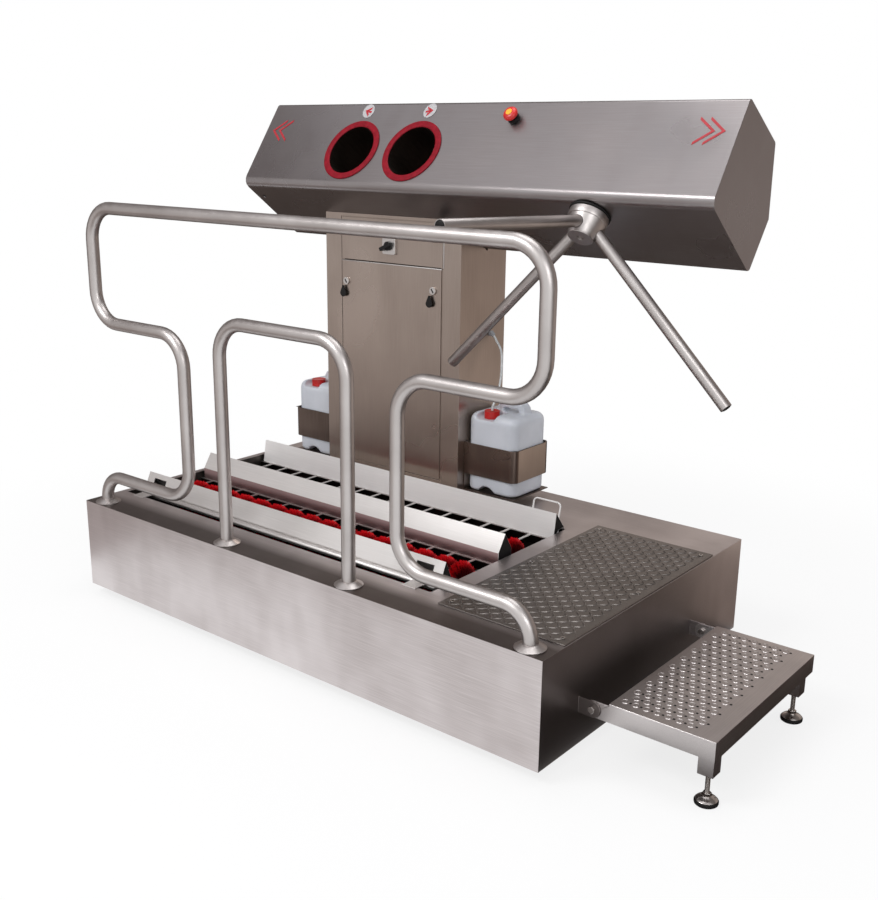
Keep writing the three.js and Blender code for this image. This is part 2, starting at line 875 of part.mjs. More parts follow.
// Hinge bolt through the bracket and the ear, its head outwards along +Y and its nut inside
function hingeBolt() {
  const reach = 2 * tabThickness + fit;
  const shank = rodY(boltRadius, 0, -reach - fit - bite, fit + bite, 0, boreSides);
  const head = rodY(boltHeadRadius, 0, fit, fit + boltHeadHeight, 0, nutSides);
  const nut = rodY(boltHeadRadius, 0, -reach - fit - boltHeadHeight, -reach - fit, 0, nutSides);
  return joined(shank, head, nut);
}

// Handrails: one bent tube each, with domed covers where they stand on the deck
function railFoot(x) {
  const rim = deckTop + fit;
  const cover = turned([
    [0, rim], [flangeRadius, rim], [flangeRadius, rim + flangeRim],
    [railRadius, rim + flangeHeight], [0, rim + flangeHeight],
  ]);
  return cover.translate(x, railY, 0);
}

function longRail() {
  const start = deckTop + fit;
  const corners = [
    [railFootLeft, railY, start], [railFootLeft, railY, longRailLow],
    [railDropLeft, railY, longRailLow], [railDropLeft, railY, longRailMiddle],
    [railEndLeft, railY, longRailMiddle], [railEndLeft, railY, longRailTop],
    [railEndRight, railY, longRailTop], [railEndRight, railY, longRailMiddle],
    [railDropRight, railY, longRailMiddle], [railDropRight, railY, longRailLow],
    [railFootRight, railY, longRailLow], [railFootRight, railY, start],
  ];
  const bends = new Array(corners.length - 2).fill(railBend);
  bends[0] = railFootBend;
  bends[bends.length - 1] = railFootBend;
  const pipe = tube(new BentRoute(corners, bends), railRadius, railSides);
  return joined(pipe, railFoot(railFootLeft), railFoot(railFootRight));
}

function shortRail() {
  const start = deckTop + fit;
  const corners = [
    [shortRailLeft, railY, start], [shortRailLeft, railY, shortRailTop],
    [shortRailRight, railY, shortRailTop], [shortRailRight, railY, start],
  ];
  const pipe = tube(new BentRoute(corners, [shortRailBend, shortRailBend]), railRadius, railSides);
  return joined(pipe, railFoot(shortRailLeft), railFoot(shortRailRight));
}

// Tower: a sheet cabinet under the housing, open in front behind its door and switch panel
function towerTop(y) {
  const share = y < keelY ? (keelY - y) / (keelY - noseY) : (y - keelY) / (headBackY - keelY);
  const rise = y < keelY ? noseZ - keelZ : headBackLow - keelZ;
  return keelZ + share * rise - looseFit;
}

function towerHousing() {
  const base = deckTop + fit;
  const outline = [
    [towerFront, base], [towerBack, base], [towerBack, towerTop(towerBack)],
    [keelY, towerTop(keelY)], [towerFront, towerTop(towerFront)],
  ];
  const shell = cut(
    prismX(outline, towerLeft, towerRight),
    prismX(insetCorners(outline, sheet), towerLeft + sheet, towerRight - sheet),
  );
  const frame = box(
    openingLeft - flangeWidth, openingRight + flangeWidth,
    towerFront + sheet - bite, towerFront + sheet + flangeDepth,
    doorBottom - flangeWidth, panelTop + bite,
  );
  const recess = box(
    openingLeft, openingRight,
    towerFront - overrun, towerFront + sheet + fit,
    doorBottom, panelTop,
  );
  const passage = box(
    openingLeft + flangeWidth, openingRight - flangeWidth,
    towerFront - overrun, towerFront + sheet + overrun,
    doorBottom + flangeWidth, panelTop - flangeWidth,
  );
  const wall = towerRight;
  const outlet = rodX(fittingBore, wall - overrun, wall + overrun, fittingY, fittingZ, boreSides);
  return cut(joined(shell, frame), recess, passage, outlet);
}

function switchPanel() {
  const left = openingLeft + doorGap;
  const right = openingRight - doorGap;
  return box(left, right, towerFront, towerFront + sheet, doorTop + doorGap, panelTop - doorGap);
}

const doorRight = openingRight - doorGapRight;
const doorLeft = openingLeft + doorGap;
const doorLow = doorBottom + doorGap;

// Door: a lift-out panel with stiffeners behind and two lock holes
function towerDoor() {
  const plate = box(doorLeft, doorRight, towerFront, towerFront + sheet, doorLow, doorTop);
  const ribBack = towerFront + sheet + doorRibDepth;
  const ribLeft = openingLeft + flangeWidth + doorRibInset;
  const ribRight = openingRight - flangeWidth - doorRibInset;
  const ribs = [];
  for (let index = 0; index < doorRibCount; index += 1) {
    const middle = doorLow + (doorTop - doorLow) * (index + 1 / 2) / doorRibCount;
    const low = middle - doorRibWidth / 2;
    ribs.push(box(ribLeft, ribRight, towerFront + sheet - bite, ribBack, low, low + doorRibWidth));
  }
  const holes = [lockLeftX, lockRightX].map((x) => (
    rodY(barrelRadius + fit, x, towerFront - overrun, towerFront + overrun, lockZ, boreSides)
  ));
  return cut(joined(plate, ...ribs), ...holes);
}

// Quarter-turn lock about its own axis: head, barrel and a cam that hangs down while unlocked
function quarterLock() {
  const camFront = sheet + flangeDepth + fit;
  const camBack = camFront + camThickness;
  const head = rodY(lockRadius, 0, -fit - lockHeight, -fit, 0);
  const barrel = rodY(barrelRadius, 0, -lockHeight, camBack, 0, boreSides);
  const cam = box(-camWidth / 2, camWidth / 2, camFront, camBack, -camLength, 0);
  const face = -fit - lockHeight;
  const slot = box(
    -slotWidth / 2, slotWidth / 2,
    face - overrun, face + slotDepth,
    -slotLength / 2, slotLength / 2,
  );
  return cut(joined(head, barrel, cam), slot);
}

// Dust flap: a drop-shaped plate in front of the lock, hanging from a pin beside it
function lockFlap() {
  const outline = [];
  for (let step = 0; step <= arcSteps * 2; step += 1) {
    const angle = Math.PI * (1 + step / (arcSteps * 2));
    outline.push([flapRadius * Math.cos(angle), flapRadius * Math.sin(angle) - flapReach]);
  }
  for (let step = 0; step <= arcSteps; step += 1) {
    const angle = Math.PI * step / arcSteps;
    outline.push([flapPin * 2 * Math.cos(angle), flapPin * 2 * Math.sin(angle)]);
  }
  const back = -lockHeight - looseFit;
  const plate = prismY(outline, back - flapThickness, back);
  return joined(plate, rodY(flapPin, 0, back - bite, -fit, 0, nutSides * 2));
}

function switchPlate() {
  const half = switchSize / 2;
  const corner = switchSize * cornerShare;
  const corners = [[-half, -half], [half, -half], [half, half], [-half, half]];
  const outline = roundedOutline(corners, corners.map(() => corner));
  return prismY(outline, -fit - switchDepth, -fit);
}

// Rotary knob with a bar handle that points along the turned X axis
function switchKnob() {
  const back = -switchDepth - looseFit;
  const disc = rodY(knobRadius, 0, back - knobHeight / 2, back, 0);
  const half = knobHandleWidth / 2;
  const bar = box(-knobRadius, knobHandle, back - knobHeight, back - bite, -half, half);
  return joined(disc, bar);
}

// Push head along local +Z: a collar on the face and a cap whose stem runs in the collar
function pushCollar(radius, height, stem) {
  return cut(
    turned([[0, fit], [radius, fit], [radius, height], [radius - bite, height + bite], [0, height + bite]]),
    rodZ(stem + fit, 0, 0, -overrun, height + overrun, roundSides),
  );
}

function pushCap(profile, stem, travel) {
  const cap = turned(profile, roundSides);
  return joined(cap, rodZ(stem, 0, 0, travel + looseFit, profile[0][1] + bite, roundSides));
}

const stopBottom = stopCollarHeight + stopTravel + bite + looseFit;

function stopButton() {
  const top = stopBottom + stopHeight;
  return pushCap([
    [0, stopBottom], [stopRadius - bite, stopBottom], [stopRadius, stopBottom + stopHeight / 3],
    [stopRadius - bite, stopBottom + stopHeight * 2 / 3], [stopRadius / 2, top], [0, top],
  ], stopStemRadius, stopTravel);
}

const buttonBottom = buttonCollarHeight + buttonTravel + bite + looseFit;

function pushButton() {
  const top = buttonBottom + buttonHeight;
  return pushCap([
    [0, buttonBottom], [buttonRadius, buttonBottom], [buttonRadius, top - bite],
    [buttonRadius - bite, top], [0, top],
  ], buttonStemRadius, buttonTravel);
}

// Overhead housing: a hexagonal shell with round hand openings in its sloping front
const headCorners = [
  [noseY, noseZ], [keelY, keelZ], [headBackY, headBackLow], [headBackY, headBackTop], [apexY, apexZ],
];
const headBends = [noseBend, keelBend, backBend, backBend, apexBend];

const faceUp = new THREE.Vector3(0, apexY - noseY, apexZ - noseZ).normalize();
const faceOut = new THREE.Vector3(0, -faceUp.z, faceUp.y);
const nosePoint = new THREE.Vector3(0, noseY, noseZ);
const underRun = new THREE.Vector3(0, keelY - noseY, keelZ - noseZ).normalize();
const underOut = new THREE.Vector3(0, underRun.z, -underRun.y);

function facePlace(x, rise) {
  return nosePoint.clone().addScaledVector(faceUp, rise).setX(x);
}

function underPlace(x, run) {
  return nosePoint.clone().addScaledVector(underRun, run).setX(x);
}

function onFace(geometry, x, rise) {
  return placed(geometry, unitX, faceUp, faceOut, facePlace(x, rise));
}

function onUnder(geometry, x, run) {
  return placed(geometry, unitX, underRun.clone().negate(), underOut, underPlace(x, run));
}

function headShell() {
  const inner = insetCorners(headCorners, sheet);
  const innerBends = headBends.map((radius) => radius - sheet);
  const shell = cut(
    prismX(roundedOutline(headCorners, headBends), headLeft, headRight),
    prismX(roundedOutline(inner, innerBends), headLeft + sheet, headRight - sheet),
  );
  const handHole = handRadius + chamberWall + fit;
  const holes = [handLeftX, handRightX].map((x) => (
    onFace(rodZ(handHole, 0, 0, -overrun, overrun, handSides), x, handRise)
  ));
  const spindleHole = onUnder(rodZ(spindleRadius + fit, 0, 0, -overrun, overrun), turnX, turnRun);
  const drill = rodZ(drainHoleRadius, 0, 0, -overrun, overrun, boreSides);
  const smallHole = onUnder(drill, drainHoleX, drainHoleRun);
  return cut(shell, ...holes, spindleHole, smallHole);
}

// Hand chamber: a round cup behind the opening, and the ring around it
function handChamber() {
  const outer = handRadius + chamberWall;
  return turned([
    [0, -chamberDepth], [outer, -chamberDepth], [outer, 0], [handRadius, 0],
    [handRadius, chamberWall - chamberDepth], [0, chamberWall - chamberDepth],
  ], handSides);
}

function handRing() {
  const top = fit + ringThickness;
  return turned([
    [handRadius, fit], [ringRadius, fit], [ringRadius, top - bite], [ringRadius - bite, top],
    [handRadius + bite, top], [handRadius, top - bite], [handRadius, fit],
  ], handSides);
}

function handNozzle() {
  const reach = handRadius - nozzleRadius * Math.tan(Math.PI / handSides) - fit;
  const neck = reach - nozzleLength;
  const body = rodY(nozzleRadius, 0, neck, reach, 0, boreSides);
  const tip = rodY(nozzleRadius * tipShare, 0, neck - nozzleRadius, neck + bite, 0, boreSides);
  return joined(body, tip);
}

// Turnstile, about its own axis: gasket, hub with sockets, arms and the brake inside the housing
const armMeeting = underPlace(turnX, turnRun).addScaledVector(underOut, armSeat);
const armLength = armMeeting.y - railY - railRadius - armGap;

function turnGasket() {
  const bore = spindleRadius + fit;
  return turned([
    [bore, fit], [gasketRadius, fit], [gasketRadius, gasketThickness], [bore, gasketThickness], [bore, fit],
  ]);
}

const hubBottom = gasketThickness + fit;

function armDirection(index) {
  const tilt = THREE.MathUtils.degToRad(armAngle);
  const turn = Math.PI / 2 + 2 * Math.PI * index / armCount;
  return new THREE.Vector3(Math.sin(tilt) * Math.cos(turn), Math.sin(tilt) * Math.sin(turn), Math.cos(tilt));
}

function alongArm(geometry, index) {
  const turn = new THREE.Quaternion().setFromUnitVectors(unitZ, armDirection(index));
  return geometry.applyQuaternion(turn).translate(0, 0, armSeat);
}

function turnHub() {
  const top = hubBottom + hubHeight;
  const hub = turned([
    [0, hubBottom], [hubRadius, hubBottom], [hubRadius, hubBottom + hubFlange],
    [hubNeckRadius, top - hubFlange], [hubNoseRadius, top - hubLip], [hubNoseRadius, top], [0, top],
  ], hubSides);
  const spindle = rodZ(spindleRadius, 0, 0, -sheet - brakeHeight / 2, hubBottom + bite);
  const centre = rodZ(hubDimple, 0, 0, top - hubLip, top + overrun, boreSides);
  const sockets = [];
  for (let index = 0; index < armCount; index += 1) {
    sockets.push(alongArm(rodZ(armRadius + fit, 0, 0, armStart - fit, armLength / 2, armSides), index));
  }
  return cut(joined(hub, spindle), centre, ...sockets);
}

function turnArm() {
  const end = armLength - armEnd;
  return turned([
    [0, armStart], [armRadius, armStart], [armRadius, end],
    [armRadius - 2 * bite, armLength - bite], [0, armLength],
  ], armSides);
}

function turnBrake() {
  const top = -sheet - fit;
  const bore = spindleRadius + fit;
  return turned([
    [bore, top - brakeHeight], [brakeRadius, top - brakeHeight], [brakeRadius, top], [bore, top],
    [bore, top - brakeHeight],
  ]);
}

// Canister station, drawn for the right side: holder, canister and cap
const canisterWidth = holderOut - 2 * holderSheet - canisterGap;
const canisterLeft = holderSheet + canisterGap / 2;
const canisterFront = holderFront + holderSheet + canisterGap / 2;
const canisterBack = holderBack - holderSheet - canisterGap / 2;
const canisterBottom = shelfZ + holderSheet + fit;
const shoulderZ = canisterBottom + canisterHeight;

function canisterHolder() {
  const outer = box(0, holderOut, holderFront, holderBack, holderBottom, holderTop);
  const inner = box(
    holderSheet, holderOut - holderSheet, holderFront + holderSheet, holderBack - holderSheet,
    holderBottom - overrun, holderTop + overrun,
  );
  const plate = box(0, holderSheet, holderFront, holderBack, shelfZ, holderTop);
  const shelf = box(0, holderOut, holderFront, holderBack, shelfZ, shelfZ + holderSheet);
  return joined(cut(outer, inner), plate, shelf);
}

function canisterOutline(inset) {
  const corners = [
    [canisterLeft, canisterFront], [canisterLeft + canisterWidth, canisterFront],
    [canisterLeft + canisterWidth, canisterBack], [canisterLeft, canisterBack],
  ];
  const radius = canisterCorner - inset;
  return roundedOutline(insetCorners(corners, inset), [radius, radius, radius, radius]);
}

// A body narrowed at its bottom and shoulder edges, from stacked outlines
function canisterBody(inset, bottom, top) {
  const wide = canisterOutline(inset);
  const narrow = canisterOutline(inset + canisterShrink);
  const level = (outline, z) => outline.map((point) => [point.x, point.y, z]);
  return stacked([
    level(narrow, bottom), level(wide, bottom + canisterEdge),
    level(wide, top - canisterEdge), level(narrow, top),
  ]);
}

function stacked(rings) {
  const size = rings[0].length;
  const positions = rings.flat(2);
  const middle = (ring) => {
    const sum = ring.reduce((total, point) => total.add(new THREE.Vector3(...point)), new THREE.Vector3());
    return sum.divideScalar(ring.length).toArray();
  };
  positions.push(...middle(rings[0]), ...middle(rings.at(-1)));
  const low = rings.length * size;
  const high = low + 1;
  const index = [];
  for (let side = 0; side < size; side += 1) {
    const next = (side + 1) % size;
    index.push(low, next, side);
    index.push(high, low - size + side, low - size + next);
    for (let ring = 0; ring < rings.length - 1; ring += 1) {
      const here = ring * size;
      index.push(here + side, here + next, here + size + next);
      index.push(here + side, here + size + next, here + size + side);
    }
  }
  const geometry = new THREE.BufferGeometry();
  geometry.setAttribute('position', new THREE.BufferAttribute(new Float32Array(positions), 3));
  geometry.setIndex(index);
  return geometry;
}

function canister() {
  const capX = canisterLeft + capOffsetX;
  const capY = canisterFront + capOffsetY;
  const handleRight = canisterLeft + canisterWidth - handleInset;
  const handleLeft = handleRight - handleLength;
  const handleMiddleX = canisterLeft + canisterWidth / 2;
  const handleMiddle = (canisterFront + canisterBack) / 2 + handleShift;
  const corners = [
    [handleLeft, shoulderZ - bite], [handleRight, shoulderZ - bite],
    [handleRight, shoulderZ + handleHeight], [handleLeft, shoulderZ + handleHeight],
  ];
  const bend = handleHeight * handleBendShare;
  const y0 = handleMiddle - handleWidth / 2;
  const handle = prismY(roundedOutline(corners, [0, 0, bend, bend]), y0, y0 + handleWidth);
  const grip = box(
    handleLeft + handleThick, handleRight - handleThick, y0 - overrun, y0 + handleWidth + overrun,
    shoulderZ + bite, shoulderZ + bite + gripHoleHeight,
  );
  const neck = rodZ(neckRadius, capX, capY, shoulderZ - bite, shoulderZ + neckHeight);
  const archHole = (extra) => prismY(
    roundOutline(archRadius + extra, boreSides).map(([x, z]) => [x + handleMiddleX, z + canisterBottom]),
    canisterFront - overrun, canisterFront + archDepth + extra,
  );
  const body = cut(canisterBody(0, canisterBottom, shoulderZ), archHole(0));
  const inside = canisterBody(canisterWall, canisterBottom + canisterWall, shoulderZ - canisterWall);
  const mouth = rodZ(neckRadius - canisterWall, capX, capY, shoulderZ - overrun, shoulderZ + overrun);
  return cut(joined(body, cut(handle, grip), neck), cut(inside, archHole(canisterWall)), mouth);
}

function canisterCap() {
  const top = neckHeight + fit + capCrown;
  const crown = turned([
    [0, fit], [capRadius, fit], [capRadius, top - bite], [capRadius - bite, top], [0, top],
  ]);
  return cut(crown, rodZ(neckRadius + fit, 0, 0, -overrun, neckHeight + fit));
}

// Suction hose: from the fitting on the tower side down to the right cap
const capPlaceX = towerRight + fit + canisterLeft + capOffsetX;
const capPlaceY = canisterFront + capOffsetY;
const capTop = shoulderZ + neckHeight + fit + capCrown;
const outletWay = new THREE.Vector3(1, 0, -1).normalize();
const outletEnd = new THREE.Vector3(towerRight + fit + fittingNeck, fittingY, fittingZ)
  .addScaledVector(outletWay, fittingNipple);

function hoseRoute() {
  const straight = hoseRadius * 2;
  const start = outletEnd.clone().addScaledVector(outletWay, fit);
  const end = new THREE.Vector3(capPlaceX, capPlaceY, capTop + fit);
  const span = end.clone().sub(start);
  const guides = hoseShares.map((share) => span.clone().multiply(new THREE.Vector3(...share)).add(start));
  guides.unshift(start, start.clone().addScaledVector(outletWay, straight));
  guides.push(end.clone().addScaledVector(unitZ, straight), end);
  return new THREE.CatmullRomCurve3(guides, false, 'centripetal');
}

function suctionHose() {
  const settings = { steps: hoseSteps, bevelEnabled: false, extrudePath: hoseRoute() };
  return new THREE.ExtrudeGeometry(shapeOf(roundOutline(hoseRadius, hoseSides)), settings);
}

// Elbow fitting in the tower side
function hoseFitting() {
  const x0 = towerRight + fit;
  const corner = x0 + fittingNeck;
  const neck = rodX(fittingBore - fit, towerRight - sheet - overrun, x0 + bite, 0, 0, boreSides);
  const collar = rodX(fittingRadius, x0, corner, 0, 0, boreSides);
  const nipple = rodZ(fittingBore, 0, 0, -fittingNipple, fittingBore, boreSides);
  nipple.rotateY(-Math.PI / 4).translate(corner, 0, 0);
  return joined(neck, collar, nipple);
}

// Assembly
const model = new THREE.Group();
model.name = 'boot_washer';
model.position.set(-totalLength / 2, -totalDepth / 2, 0);

function add(name, geometry, material, parent = model) {
  const mesh = new THREE.Mesh(geometry, material.clone());
  mesh.name = name;
  parent.add(mesh);
  return mesh;
}

function addGroup(name, position, parent = model) {
  const group = new THREE.Group();
  group.name = name;
  group.position.set(...position);
  parent.add(group);
  return group;
}

function orient(group, xAxis, yAxis, zAxis) {
  group.quaternion.setFromRotationMatrix(new THREE.Matrix4().makeBasis(xAxis, yAxis, zAxis));
  return group;
}

add('base_housing', baseHousing(), steel);
add('trough', trough(), steel);
add('frame_beam_front', frameBeam(beamInset), darkSteel);
add('frame_beam_rear', frameBeam(baseDepth - beamInset - beamSize), darkSteel);
add('platform_plate', platformPlate(), darkSteel);
add('rail_long', longRail(), tubeSteel);
add('rail_short', shortRail(), tubeSteel);

add('grate_front', grate(laneBars[0], laneBars[1]), steel);
add('grate_rear', grate(laneBars[2], laneBars[3]), steel);
add('guard_front', frontGuard(), steel);
add('guard_middle', middleGuard(), steel);
add('guard_rear', rearGuard(), steel);

[['front', rollerFrontY], ['rear', rollerRearY]].forEach(([side, y]) => {
  const roller = addGroup(`roller_${side}`, [0, y, rollerZ]);
  add(`brush_${side}`, rollerBrush(), red, roller);
  add(`shaft_${side}`, rollerShaft(), tubeSteel, roller);
});
add('drive_motor', gearedMotor(), castGrey);
add('drive_chain', driveChain(), darkSteel);

add('step_tread', stepTread(), steel);
['front', 'rear'].forEach((side, index) => {
  const [x, y] = legCentre(index);
  add(`step_foot_${side}`, stepFoot(), tubeSteel).position.set(x, y, 0);
  const bolt = add(`step_bolt_${side}`, hingeBolt(), tubeSteel);
  const outward = index === 0 ? -1 : 1;
  bolt.position.set(pivotX, index === 0 ? bracketFrontY : bracketRearY + tabThickness, pivotZ);
  bolt.rotation.z = outward > 0 ? 0 : Math.PI;
});

add('tower_housing', towerHousing(), steel);
add('tower_switch_panel', switchPanel(), steel);
add('tower_door', towerDoor(), steel);
[['left', lockLeftX], ['right', lockRightX]].forEach(([side, x]) => {
  const lock = addGroup(`lock_place_${side}`, [x, towerFront, lockZ]);
  add(`door_lock_${side}`, quarterLock(), tubeSteel, lock);
  add(`lock_flap_${side}`, lockFlap(), black, lock).position.set(flapPinX, 0, flapPinZ);
});
const switchPlace = addGroup('main_switch', [switchX, towerFront, switchZ]);
add('main_switch_plate', switchPlate(), tubeSteel, switchPlace);
add('main_switch_knob', switchKnob(), black, switchPlace).rotation.y = THREE.MathUtils.degToRad(knobTurn);
const buttonPlace = addGroup('push_button_place', [buttonX, towerFront, buttonZ]);
orient(buttonPlace, unitX, unitZ, unitY.clone().negate());
const buttonCollar = pushCollar(buttonCollarRadius, buttonCollarHeight, buttonStemRadius);
add('push_button_collar', buttonCollar, black, buttonPlace);
add('push_button', pushButton(), black, buttonPlace);

add('head_shell', headShell(), steel);
[['left', handLeftX], ['right', handRightX]].forEach(([side, x]) => {
  const place = addGroup(`hand_place_${side}`, facePlace(x, handRise).toArray());
  orient(place, unitX, faceUp, faceOut);
  add(`hand_ring_${side}`, handRing(), dullRed, place);
  add(`hand_chamber_${side}`, handChamber(), darkSteel, place);
  add(`hand_nozzle_${side}`, handNozzle(), castGrey, place).position.z = -nozzleDepth;
});
const stopPlace = addGroup('estop_place', facePlace(stopX, stopRise).toArray());
orient(stopPlace, unitX, faceUp, faceOut);
const stopCollar = pushCollar(stopCollarRadius, stopCollarHeight, stopStemRadius);
add('estop_collar', stopCollar, black, stopPlace);
add('estop_button', stopButton(), red, stopPlace);

const turnPlace = addGroup('turnstile', underPlace(turnX, turnRun).toArray());
orient(turnPlace, unitX, underRun.clone().negate(), underOut);
add('turnstile_gasket', turnGasket(), black, turnPlace);
add('turnstile_hub', turnHub(), tubeSteel, turnPlace);
add('turnstile_brake', turnBrake(), castGrey, turnPlace);
for (let index = 0; index < armCount; index += 1) {
  const arm = add(`turnstile_arm_${index + 1}`, turnArm(), tubeSteel, turnPlace);
  arm.position.z = armSeat;
  arm.quaternion.setFromUnitVectors(unitZ, armDirection(index));
}

const stations = [['right', towerRight + fit, 0], ['left', towerLeft - fit - holderOut, -leftStationDrop]];
stations.forEach(([side, x, z]) => {
  const station = addGroup(`canister_station_${side}`, [x, 0, z]);
  const holder = add(`holder_${side}`, canisterHolder(), steel, station);
  if (side === 'left') {
    holder.position.set(holderOut, holderFront + holderBack, 0);
    holder.rotation.z = Math.PI;
  }
  add(`canister_${side}`, canister(), white, station);
  const cap = add(`cap_${side}`, canisterCap(), red, station);
  cap.position.set(canisterLeft + capOffsetX, capPlaceY, shoulderZ);
});
add('hose_fitting', hoseFitting(), castGrey).position.set(0, fittingY, fittingZ);
add('suction_hose', suctionHose(), white);

add('control_box', box(
  controlBoxLeft, controlBoxLeft + controlBoxWidth,
  towerBack - sheet - fit - controlBoxDepth, towerBack - sheet - fit,
  controlBoxBottom, controlBoxBottom + controlBoxHeight,
), castGrey);
add('dosing_pump', box(
  pumpLeft, pumpLeft + pumpWidth,
  towerBack - sheet - fit - pumpDepth, towerBack - sheet - fit,
  pumpBottom, pumpBottom + pumpHeight,
), castGrey);

export default model;
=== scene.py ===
import json
import math
import bpy
from mathutils import Matrix, Vector


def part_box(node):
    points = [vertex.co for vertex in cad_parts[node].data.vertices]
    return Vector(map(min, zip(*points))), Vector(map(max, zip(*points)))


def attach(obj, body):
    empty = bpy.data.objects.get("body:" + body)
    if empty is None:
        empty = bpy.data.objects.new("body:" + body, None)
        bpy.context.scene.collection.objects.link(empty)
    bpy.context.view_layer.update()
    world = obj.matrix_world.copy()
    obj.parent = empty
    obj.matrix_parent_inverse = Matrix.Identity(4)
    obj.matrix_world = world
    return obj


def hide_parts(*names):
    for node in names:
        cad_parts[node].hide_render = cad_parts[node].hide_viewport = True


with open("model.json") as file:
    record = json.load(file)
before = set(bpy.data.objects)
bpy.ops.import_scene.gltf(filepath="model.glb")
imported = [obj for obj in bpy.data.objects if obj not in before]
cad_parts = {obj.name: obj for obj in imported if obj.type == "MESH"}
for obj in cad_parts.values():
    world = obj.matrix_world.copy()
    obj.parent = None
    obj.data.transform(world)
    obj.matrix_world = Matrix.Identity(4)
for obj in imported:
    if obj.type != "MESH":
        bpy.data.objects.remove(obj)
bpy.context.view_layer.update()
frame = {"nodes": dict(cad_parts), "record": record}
nodes = frame["nodes"]
bodies = frame["record"]["behaviour"]["bodies"]
body_of_node = {node: body for body, members in bodies.items() for node in members}
slot_of_node = {part["node"]: part["material_slot"] for part in frame["record"]["subparts"]}

QUARTER = math.pi / 2
MERGE = 0.00001


def shop(x, y, z):
    """A place in millimetres from the base's front left corner on the floor."""
    return Vector((x - 1084, y - 537.5, z)) / 1000


def at(x, y, z):
    return Matrix.Translation((x, y, z))


def spun(angle, axis):
    return Matrix.Rotation(angle, 4, axis)


# Camera at the photograph's place and angle

CAMERA_PLACE = (1.9886, -2.5034, 1.4796)
CAMERA_AZIMUTH, CAMERA_ELEVATION, CAMERA_ROLL = 38.91, 15.63, -0.72
CAMERA_LENS = 45.5


def set_camera():
    data = bpy.data.cameras.new("photo_camera")
    data.sensor_fit = "HORIZONTAL"
    data.sensor_width = 36
    data.lens = CAMERA_LENS
    data.clip_start = 0.1
    data.clip_end = 60
    camera = bpy.data.objects.new("photo_camera", data)
    bpy.context.scene.collection.objects.link(camera)
    a, e, r = (math.radians(v) for v in (CAMERA_AZIMUTH, CAMERA_ELEVATION, CAMERA_ROLL))
    level = Vector((math.cos(a), math.sin(a), 0))
    back = Vector((math.sin(a) * math.cos(e), -math.cos(a) * math.cos(e), math.sin(e)))
    upright = back.cross(level)
    right = level * math.cos(r) - upright * math.sin(r)
    up = level * math.sin(r) + upright * math.cos(r)
    camera.matrix_world = placed(right, up, back, CAMERA_PLACE)
    bpy.context.scene.camera = camera


def placed(x, y, z, origin):
    """The place at an origin whose axes point along x, y and z."""
    matrix = Matrix((x, y, z)).transposed().to_4x4()
    matrix.translation = Vector(origin)
    return matrix


# Modelling helpers

def activate(piece):
    """Selects one object alone and makes it the active one."""
    bpy.ops.object.select_all(action="DESELECT")
    piece.select_set(True)
    bpy.context.view_layer.objects.active = piece
    return piece


def bake_place():
    """Puts the place, turn and scale of what is selected into its mesh."""
    bpy.ops.object.transform_apply(location=True, rotation=True, scale=True)


def finish_piece(name, finish, body, slot, smooth=None, stands_for=None):
    """Names the active object, puts its place into its mesh and lets it ride."""
    piece = bpy.context.object
    piece.name = name
    piece.data.name = name
    bake_place()
    if smooth:
        bpy.ops.object.shade_smooth_by_angle(angle=math.radians(smooth))
    for key in list(piece.keys()):
        del piece[key]
    piece.data.materials.clear()
    piece.data.materials.append(finishes[finish])
    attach(piece, body)
    if stands_for:
        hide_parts(stands_for)
    return piece


def apply_modifier(kind, **settings):
    piece = bpy.context.object
    modifier = piece.modifiers.new(kind.lower(), kind)
    for key, value in settings.items():
        setattr(modifier, key, value)
    bpy.ops.object.modifier_apply(modifier=modifier.name)


def cut_away(piece, cutter):
    activate(piece)
    apply_modifier("BOOLEAN", object=cutter, operation="DIFFERENCE")
    bpy.data.objects.remove(cutter)


def block(low, high):
    """A box from its lowest to its highest corner."""
    low, high = Vector(low), Vector(high)
    bpy.ops.mesh.primitive_cube_add(size=1, location=(low + high) / 2, scale=high - low)
    bpy.ops.object.transform_apply(location=False, rotation=False, scale=True)
    return bpy.context.object


def rounded_block(low, high, edge):
    piece = block(low, high)
    apply_modifier("BEVEL", width=edge, segments=2, limit_method="ANGLE")
    return piece


def drum(radius, depth, centre, axis="Z", vertices=32, edge=0.0):
    """A round disc or bar with its rims bevelled."""
    turn = {"Y": (QUARTER, 0, 0), "Z": (0, 0, 0)}[axis]
    bpy.ops.mesh.primitive_cylinder_add(
        radius=radius, depth=depth, location=centre, rotation=turn, vertices=vertices
    )
    if edge:
        apply_modifier("BEVEL", width=edge, segments=2, limit_method="ANGLE")
    return bpy.context.object


def half_dome(segments, rings, scale):
    """The upper half of a ball, pressed flat by a scale."""
    bpy.ops.mesh.primitive_uv_sphere_add(segments=segments, ring_count=rings, radius=1)
    dome = bpy.context.object
    dome.scale = scale
    bake_place()
    pick("VERT", lambda co: co.z < -0.0002)
    bpy.ops.mesh.delete(type="VERT")
    done_editing()
    return dome


def pick(kind, test):
    """Selects the active mesh's faces, edges or vertices that pass a test of their place."""
    mesh = bpy.context.object.data
    bpy.ops.object.mode_set(mode="EDIT")
    bpy.ops.mesh.select_mode(type=kind)
    bpy.ops.mesh.select_all(action="DESELECT")
    done_editing()
    if kind == "FACE":
        for face in mesh.polygons:
            face.select = test(face.center, face.normal)
    elif kind == "EDGE":
        for edge in mesh.edges:
            edge.select = test(*(mesh.vertices[i].co for i in edge.vertices))
    else:
        for vertex in mesh.vertices:
            vertex.select = test(vertex.co)
    bpy.ops.object.mode_set(mode="EDIT")


def faces_up(centre, normal):
    return normal.z > 0.9


